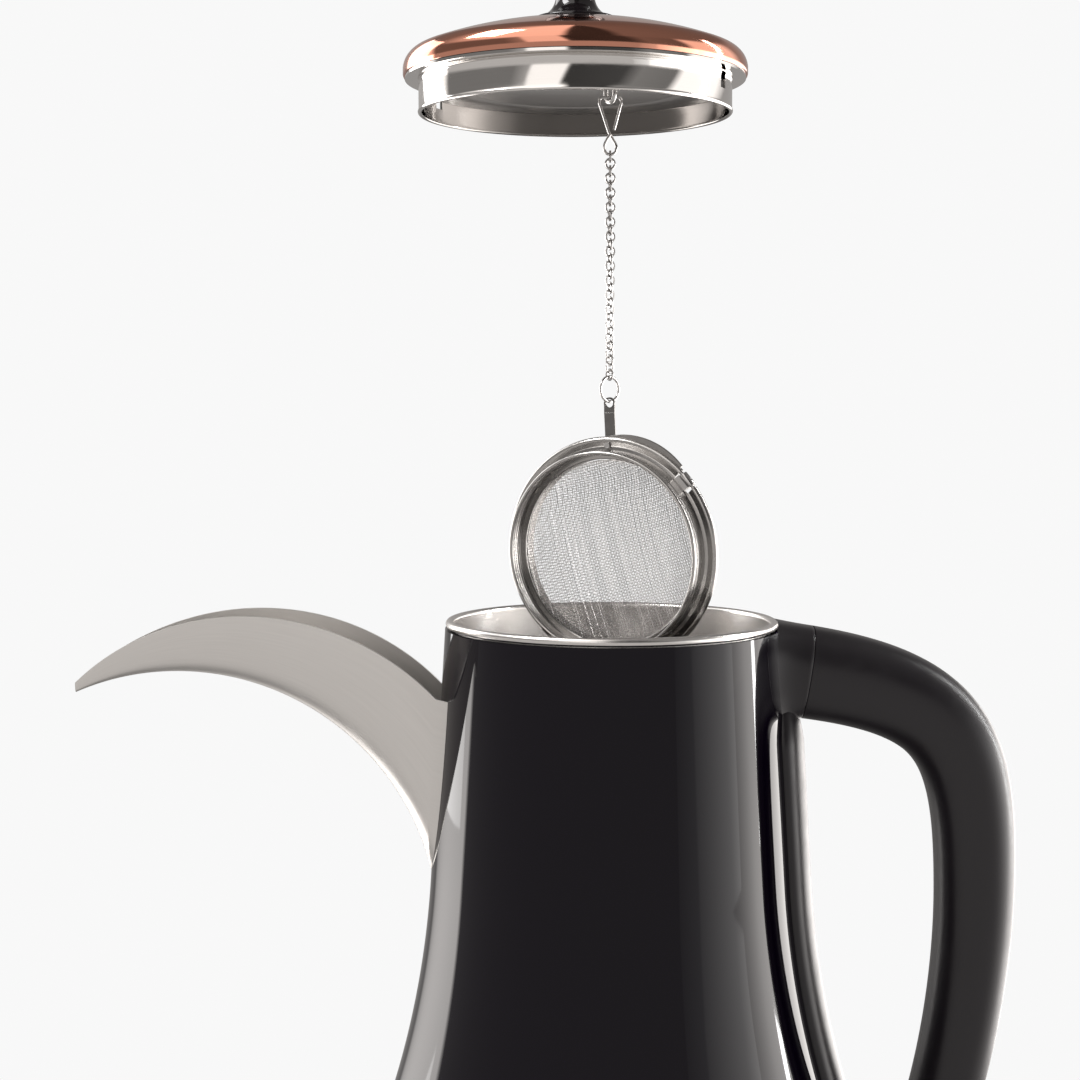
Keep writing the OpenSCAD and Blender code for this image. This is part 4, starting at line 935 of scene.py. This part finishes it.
TO_BACK = BALL_AXES @ np.array(Matrix.Rotation(math.radians(-90), 3, "X"))


def at_rim(angle):
    """Axes at a place on the ball's rim, by its angle from +X towards +Z: X points outward, Y back."""
    return BALL_AXES @ np.array(Matrix.Rotation(math.radians(-angle), 3, "Y"))


def rim_block(size, angle, radius, back):
    """A box at the ball's rim, about its middle."""
    axes = at_rim(angle)
    place = BALL + axes @ np.array((radius, back, 0))
    return block(size, Matrix.Translation([c * MM for c in place]) @ Matrix(axes.tolist()).to_4x4())


def rim_lip(back):
    """The thin crescent that swells out of the rear rim between the tab and the hinge."""
    inner, off = REAR_R - 0.5, REAR_R + LIP_REACH - LIP_R
    reach = math.acos((inner ** 2 + off ** 2 - LIP_R ** 2) / (2 * inner * off))
    clear = math.radians(LIP_ANGLE - HINGE_ANGLE - LIP_CLEAR)
    verts, steps = [], 32
    for turn in np.linspace(-clear, reach * 0.98, steps + 1):
        axes = at_rim(LIP_ANGLE + math.degrees(turn))
        outer = off * math.cos(turn) + math.sqrt(LIP_R ** 2 - (off * math.sin(turn)) ** 2)
        top = back + RING_SHEET
        section = (inner, back), (outer - 0.1, back), (outer, back + 0.12), (outer, top), (inner, top)
        verts += [BALL + axes @ np.array((r, y, 0)) for r, y in section]
    faces = [tuple(range(5)), tuple(range(5 * steps, 5 * steps + 5))]
    for i in range(0, 5 * steps, 5):
        faces += [(i + k, i + (k + 1) % 5, i + 5 + (k + 1) % 5, i + 5 + k) for k in range(5)]
    return make("rim_lip", verts, faces)


def woven(name, centre_back, radius, edge, way, twist):
    """Two crossing sets of wires over part of a sphere, each passing over and under the other."""
    pitch = WEAVE_PITCH
    axes = at_rim(twist)
    lines = []
    count = int(edge / pitch)
    for family in (0, 1):
        for n in range(-count, count + 1):
            off = n * pitch
            reach = math.sqrt(edge ** 2 - off ** 2)
            spread = int(2 * reach / pitch)
            if spread < 3:
                continue
            line = []
            for k in range(2 * spread + 1):
                along = -reach + reach * k / spread
                depth = way * math.sqrt(max(radius ** 2 - off ** 2 - along ** 2, 0))
                lift = WEAVE_LIFT * math.cos(math.pi * along / pitch + math.pi * (n + family))
                p = np.array((off, depth, along) if family == 0 else (along, depth, off))
                line.append(p * (1 + lift / radius) + np.array((0, centre_back, 0)))
            lines.append([axes @ p + BALL for p in line])
    return wires(name, lines, WEAVE_WIRE, 3, "weave")


def ball():
    r, front, seat = FRONT_R, -FRONT_BAND, FRONT_SEAT
    wall = r - RING_SHEET
    lip = MESH_R + 0.05
    line = [(r - 0.1, 0.2), (r, 0.1), (r, front + 2.3), (r - 0.15, front + 2.1), (r - 0.15, front + 1.8)]
    line += [(r, front + 1.6)] + arc((r - 0.5, front + 0.5), 0.5, 0, -180, 14)
    line += [(wall - 0.1, front + 0.95)]
    for y in np.linspace(front + 1.5, seat - 0.7, 4):
        line += [(wall, y - 0.25), (wall - 0.09, y), (wall, y + 0.25)]
    line += [(wall, seat - 0.2), (wall - 0.2, seat), (lip + 0.2, seat), (lip, seat + 0.2)]
    line += [(lip, seat + 0.5), (lip + 0.1, seat + RING_SHEET), (wall, seat + RING_SHEET)]
    line += [(wall, 0.1), (wall + 0.1, 0.2)]
    ring = turned("band_front", line, BALL, 160, axis=TO_BACK, sharp=30)
    give(ring, "infuser_front", "ring_steel", "ring", "front_ring")

    hinge = REAR_R - REAR_BEAD
    axes = at_rim(HINGE_ANGLE)
    line = rounded([(0.55, -1.8), (1.1, -1.8), (1.1, 1.8), (0.55, 1.8)], 0.15, 2)
    ear = turned("hinge_ear", line, BALL + axes @ np.array((hinge, HINGE_BACK, 0)), 32, axis=axes)
    give(ear, "infuser_front", "ring_steel", "wire")
    bridge = rim_block((hinge - r + 0.3, 2, 3.6), HINGE_ANGLE, (hinge + r - 0.3) / 2, -0.7)
    bridge.name = "hinge_bridge"
    give(tidy(bridge), "infuser_front", "ring_steel", "wire")

    line = [(lip, FLANGE), (25.5, FLANGE), (25.7, FLANGE + 0.1), (25.9, FLANGE)]
    line += arc((hinge, FLANGE + RING_SHEET), REAR_BEAD, -125, 160, 18)
    back = FLANGE + RING_SHEET
    line += [(26.0, back), (lip + 0.65, back), (lip + 0.6, back + 0.1), (lip + 0.6, back + 2.4)]
    line += [(lip + 0.5, back + 2.6), (lip + 0.1, back + 2.6), (lip, back + 2.5)]
    ring = turned("band_rear", line, BALL, 160, axis=TO_BACK)
    notches = ((HINGE_ANGLE, r + 6.2), (HINGE_ANGLE + 180, r + 5.7))
    cut(ring, *[rim_block(NOTCH, angle, out, 0) for angle, out in notches])
    give(tidy(ring), "infuser_back", "ring_steel", "ring", "rear_ring")
    give(rim_lip(back), "infuser_back", "ring_steel", "lip")

    cover = seat + math.sqrt(FRONT_DOME ** 2 - MESH_R ** 2)
    mesh = woven("weave_front", cover, FRONT_DOME - 0.25, MESH_R - 0.1, -1, 14)
    give(mesh, "infuser_front", "mesh_steel", "weave", "front_mesh")
    mesh = woven("weave_rear", FLANGE + 0.1, MESH_R - 0.25, MESH_R - 0.25, 1, -22)
    give(mesh, "infuser_back", "mesh_steel", "weave", "rear_mesh")


# Pieces that keep their CAD shape

PLAIN = {
    "spout_seal": "seal", "heating_plate": "aluminium", "heating_element": "sheath", "thermostat": "ceramic",
    "thermal_fuse": "fuse", "standoff_posts": "zinc", "bottom_screws": "zinc", "base_screws": "zinc",
    "handle_studs": "zinc", "handle_core": "filler", "finial_stud": "zinc", "finial_nut": "zinc",
    "finial_washer": "zinc", "knob_shaft": "zinc", "control_board": "board", "rotary_switch": "switch",
    "push_switch": "switch", "indicator_lamp": "lamp", "base_plug": "plastic", "pot_socket": "plastic",
    "hinge_pin": "wire", "tab_rivet": "wire", "latch_tongue": "wire",
}
EASED = {
    "base_housing": ("power_base", "black_plastic", "plastic", 0.9),
    "base_plate": ("power_base", "black_plastic", "plastic", 0.4),
    "base_foot": ("power_base", "black_rubber", "rubber", 0.4),
    "cord_gland": ("power_base", "black_rubber", "rubber", 0.4),
    "indicator_lens": ("power_base", "lens_red", "lens", 0.25),
    "control_knob": ("knob", "gloss_black", "gloss", 0.3),
    "start_button": ("button", "button_copper", "button", 0.5),
    "bottom_cover": ("pot", "black_plastic", "plastic", 0.4),
    "pot_foot": ("pot", "black_rubber", "rubber", 0.4),
    "infuser_tab": ("infuser_back", "dark_tab", "tab", 0.1),
}


def keep_cad():
    for node, look in PLAIN.items():
        mesh = cad[node].data
        mesh.materials.clear()
        mesh.materials.append(LOOK[look])
    for node, how in EASED.items():
        softened(node, *how)


# Stage, light and camera, in metres

PALE = 0.94
SOFT = 0.7
FLOOR_NEAR, FLOOR_FAR = 0.10, 0.24
MIRROR_HEIGHT = 0.17
SENSOR = 36
FOCAL_PIXELS = 1900
PHOTO_PIXELS = 1080
CAMERA_PLACE = (-0.01738, -0.4597, 0.26007)
CAMERA_TILT = 4.06
AIM = (0, 0, 0.2)


def lamp(name, place, size, watts, fade=None):
    """A soft box turned to the pot. fade gives the share of its light kept at its two upright edges."""
    data = bpy.data.lights.new(name, "AREA")
    data.shape = "RECTANGLE"
    data.size, data.size_y = size
    data.energy = watts
    obj = new_object(name, data)
    obj.location = place
    obj.rotation_euler = (Vector(AIM) - Vector(place)).to_track_quat("-Z", "Y").to_euler()
    if fade:
        data.use_nodes = True
        tree = data.node_tree
        where = add(tree, "ShaderNodeNewGeometry")["Parametric"]
        across = add(tree, "ShaderNodeSeparateXYZ", {"Vector": where})
        span = add(tree, SPAN, {"Value": across["X"], "To Min": fade[0], "To Max": fade[1]})
        tree.links.new(span["Result"], tree.nodes["Emission"].inputs["Strength"])


# What shiny pieces mirror, by compass angle from the front towards the handle: on the floor close by, at the
# height of the pot, higher up and overhead
BRIGHTEST = 8
DOWN_RUN = [(-180, 0.2), (-100, 0.25), (-70, 0.6), (70, 0.6), (100, 0.25), (180, 0.2)]
LOW_RUN = [(-180, 0.35), (-147, 0.35), (-144, 1.2), (-128, 4), (-108, 7.5), (-106, 0.6), (52, 0.6),
    (53.5, 1), (78, 2.4), (98, 6.5), (104, 6.5), (112, 4.6), (150, 4.6), (160, 0.35), (180, 0.35)]
HIGH_RUN = [(-180, 0.4), (-145, 0.5), (-138, 1.5), (-107, 1.5), (-102, 0.22), (-42, 0.22), (-31, 0.45),
    (-28, 1.4), (-4, 1.4), (-1, 0.05), (40, 0.07), (52, 0.25), (80, 0.2), (87, 1.5), (128, 1.5),
    (142, 0.4), (180, 0.4)]
TOP_RUN = [(-180, 0.2), (-120, 0.3), (-62, 1.6), (-12, 1.6), (-6, 0.06), (24, 0.06), (34, 0.28), (180, 0.2)]
HIGH_LEAN = 0.35
WARM = (1, 0.96, 0.93)


def surround_group():
    """The colour that a shiny piece mirrors from a direction."""
    tree, given = node_group(SHADING, "surround", [("Vector", VECTOR)], [("Colour", COLOUR)])

    def run(angle, stops):
        share = add(tree, SPAN, {"Value": angle, "From Min": -math.pi, "From Max": math.pi})
        ramp = tree.nodes.new("ShaderNodeValToRGB")
        marks = ramp.color_ramp.elements
        marks.remove(marks[1])
        marks[0].position = 0
        for turn, level in stops:
            mark = marks[0] if turn == stops[0][0] else marks.new((turn + 180) / 360)
            mark.color = (*(level * tint / BRIGHTEST for tint in WARM), 1)
        tree.links.new(share["Result"], ramp.inputs["Fac"])
        return ramp.outputs["Color"]

    parts = add(tree, "ShaderNodeSeparateXYZ", {"Vector": given["Vector"]})
    x, y, z = (parts[name] for name in "XYZ")
    squares = [calc(tree, "MULTIPLY", axis, axis) for axis in (x, y)]
    level = calc(tree, "SQRT", calc(tree, "ADD", *squares))
    rise = calc(tree, "ARCTAN2", z, level)
    turn = calc(tree, "ARCTAN2", x, calc(tree, "MULTIPLY", y, -1))

    def above(start, stop, low, high):
        height = add(tree, SPAN, {"Value": rise, "From Min": math.radians(start),
            "From Max": math.radians(stop)}, interpolation_type="SMOOTHSTEP")
        return blend(tree, height["Result"], low, high)

    leaning = calc(tree, "MULTIPLY_ADD", rise, HIGH_LEAN, turn)
    colour = above(-34, -26, run(turn, DOWN_RUN), run(turn, LOW_RUN))
    colour = above(5, 8, colour, run(leaning, HIGH_RUN))
    colour = above(26, 34, colour, run(turn, TOP_RUN))
    bright = add(tree, VECTOR_MATH, {0: colour, "Scale": BRIGHTEST}, operation="SCALE")
    add(tree, LEAVE, {"Colour": bright["Vector"]})
    return tree


SURROUND = surround_group()


def surround(tree, where):
    return add(tree, GROUP, {"Vector": where}, node_tree=SURROUND)["Colour"]


def pale_floor():
    """A floor that takes shadows near the object, fades into the pale background and mirrors the surround."""
    finish = Finish("pale_floor", (0.93, 0.93, 0.93), 0, 0.6).vary_colour((0.90, 0.90, 0.90), 3)
    tree, where = finish.tree, finish.where
    reach = add(tree, VECTOR_MATH, {0: where}, operation="LENGTH")
    fade = add(tree, SPAN, {"Value": reach["Value"], "From Min": FLOOR_NEAR, "From Max": FLOOR_FAR},
        interpolation_type="SMOOTHSTEP")
    glow = add(tree, "ShaderNodeEmission", {"Strength": PALE})
    lowered = add(tree, VECTOR_MATH, {0: where, 1: (0, 0, MIRROR_HEIGHT)}, operation="SUBTRACT")
    mirrored = add(tree, "ShaderNodeEmission", {"Color": surround(tree, lowered["Vector"])})
    glossy = add(tree, "ShaderNodeLightPath")["Is Glossy Ray"]
    shade = finish.shader.outputs["BSDF"]
    for factor, other in ((fade["Result"], glow), (glossy, mirrored)):
        shade = add(tree, "ShaderNodeMixShader", {"Fac": factor, 1: shade, 2: other["Emission"]})["Shader"]
    tree.links.new(shade, tree.nodes["Material Output"].inputs["Surface"])
    return finish.material


def stage():
    mesh = reshape(bpy.data.meshes.new("floor"), lambda work: bmesh.ops.create_grid(
        work, x_segments=1, y_segments=1, size=3))
    floor = new_object("floor", mesh)
    floor.data.materials.append(pale_floor())

    world = bpy.data.worlds.new("studio")
    scene.world = world
    world.use_nodes = True
    tree = world.node_tree
    path = add(tree, "ShaderNodeLightPath")
    mirrored = surround(tree, add(tree, COORDS)["Generated"])
    colour = blend(tree, path["Is Glossy Ray"], (SOFT, SOFT, SOFT, 1), mirrored)
    colour = blend(tree, path["Is Camera Ray"], colour, (PALE, PALE, PALE, 1))
    tree.links.new(colour, tree.nodes["Background"].inputs["Color"])

    lamp("strip_left", (-0.74, 0.58, 0.35), (0.55, 1.2), 6)
    lamp("strip_right", (0.9, 0.26, 0.35), (0.06, 1.2), 6)
    lamp("panel_right", (0.75, -0.4, 0.17), (0.7, 0.5), 1.6, (0.1, 1.0))
    lamp("top", (-0.6, -0.15, 1.1), (0.4, 0.4), 7.5)


def camera():
    data = bpy.data.cameras.new("photo_view")
    data.sensor_width = SENSOR
    data.lens = SENSOR * FOCAL_PIXELS / PHOTO_PIXELS
    data.clip_start = 0.01
    obj = new_object("photo_view", data)
    obj.location = CAMERA_PLACE
    obj.rotation_euler = (math.radians(90 - CAMERA_TILT), 0, 0)
    scene.camera = obj
    scene.view_settings.view_transform = "Standard"


pot()
spout()
grips()
handle_root()
lid()
chain()
ball()
keep_cad()
stage()
camera()
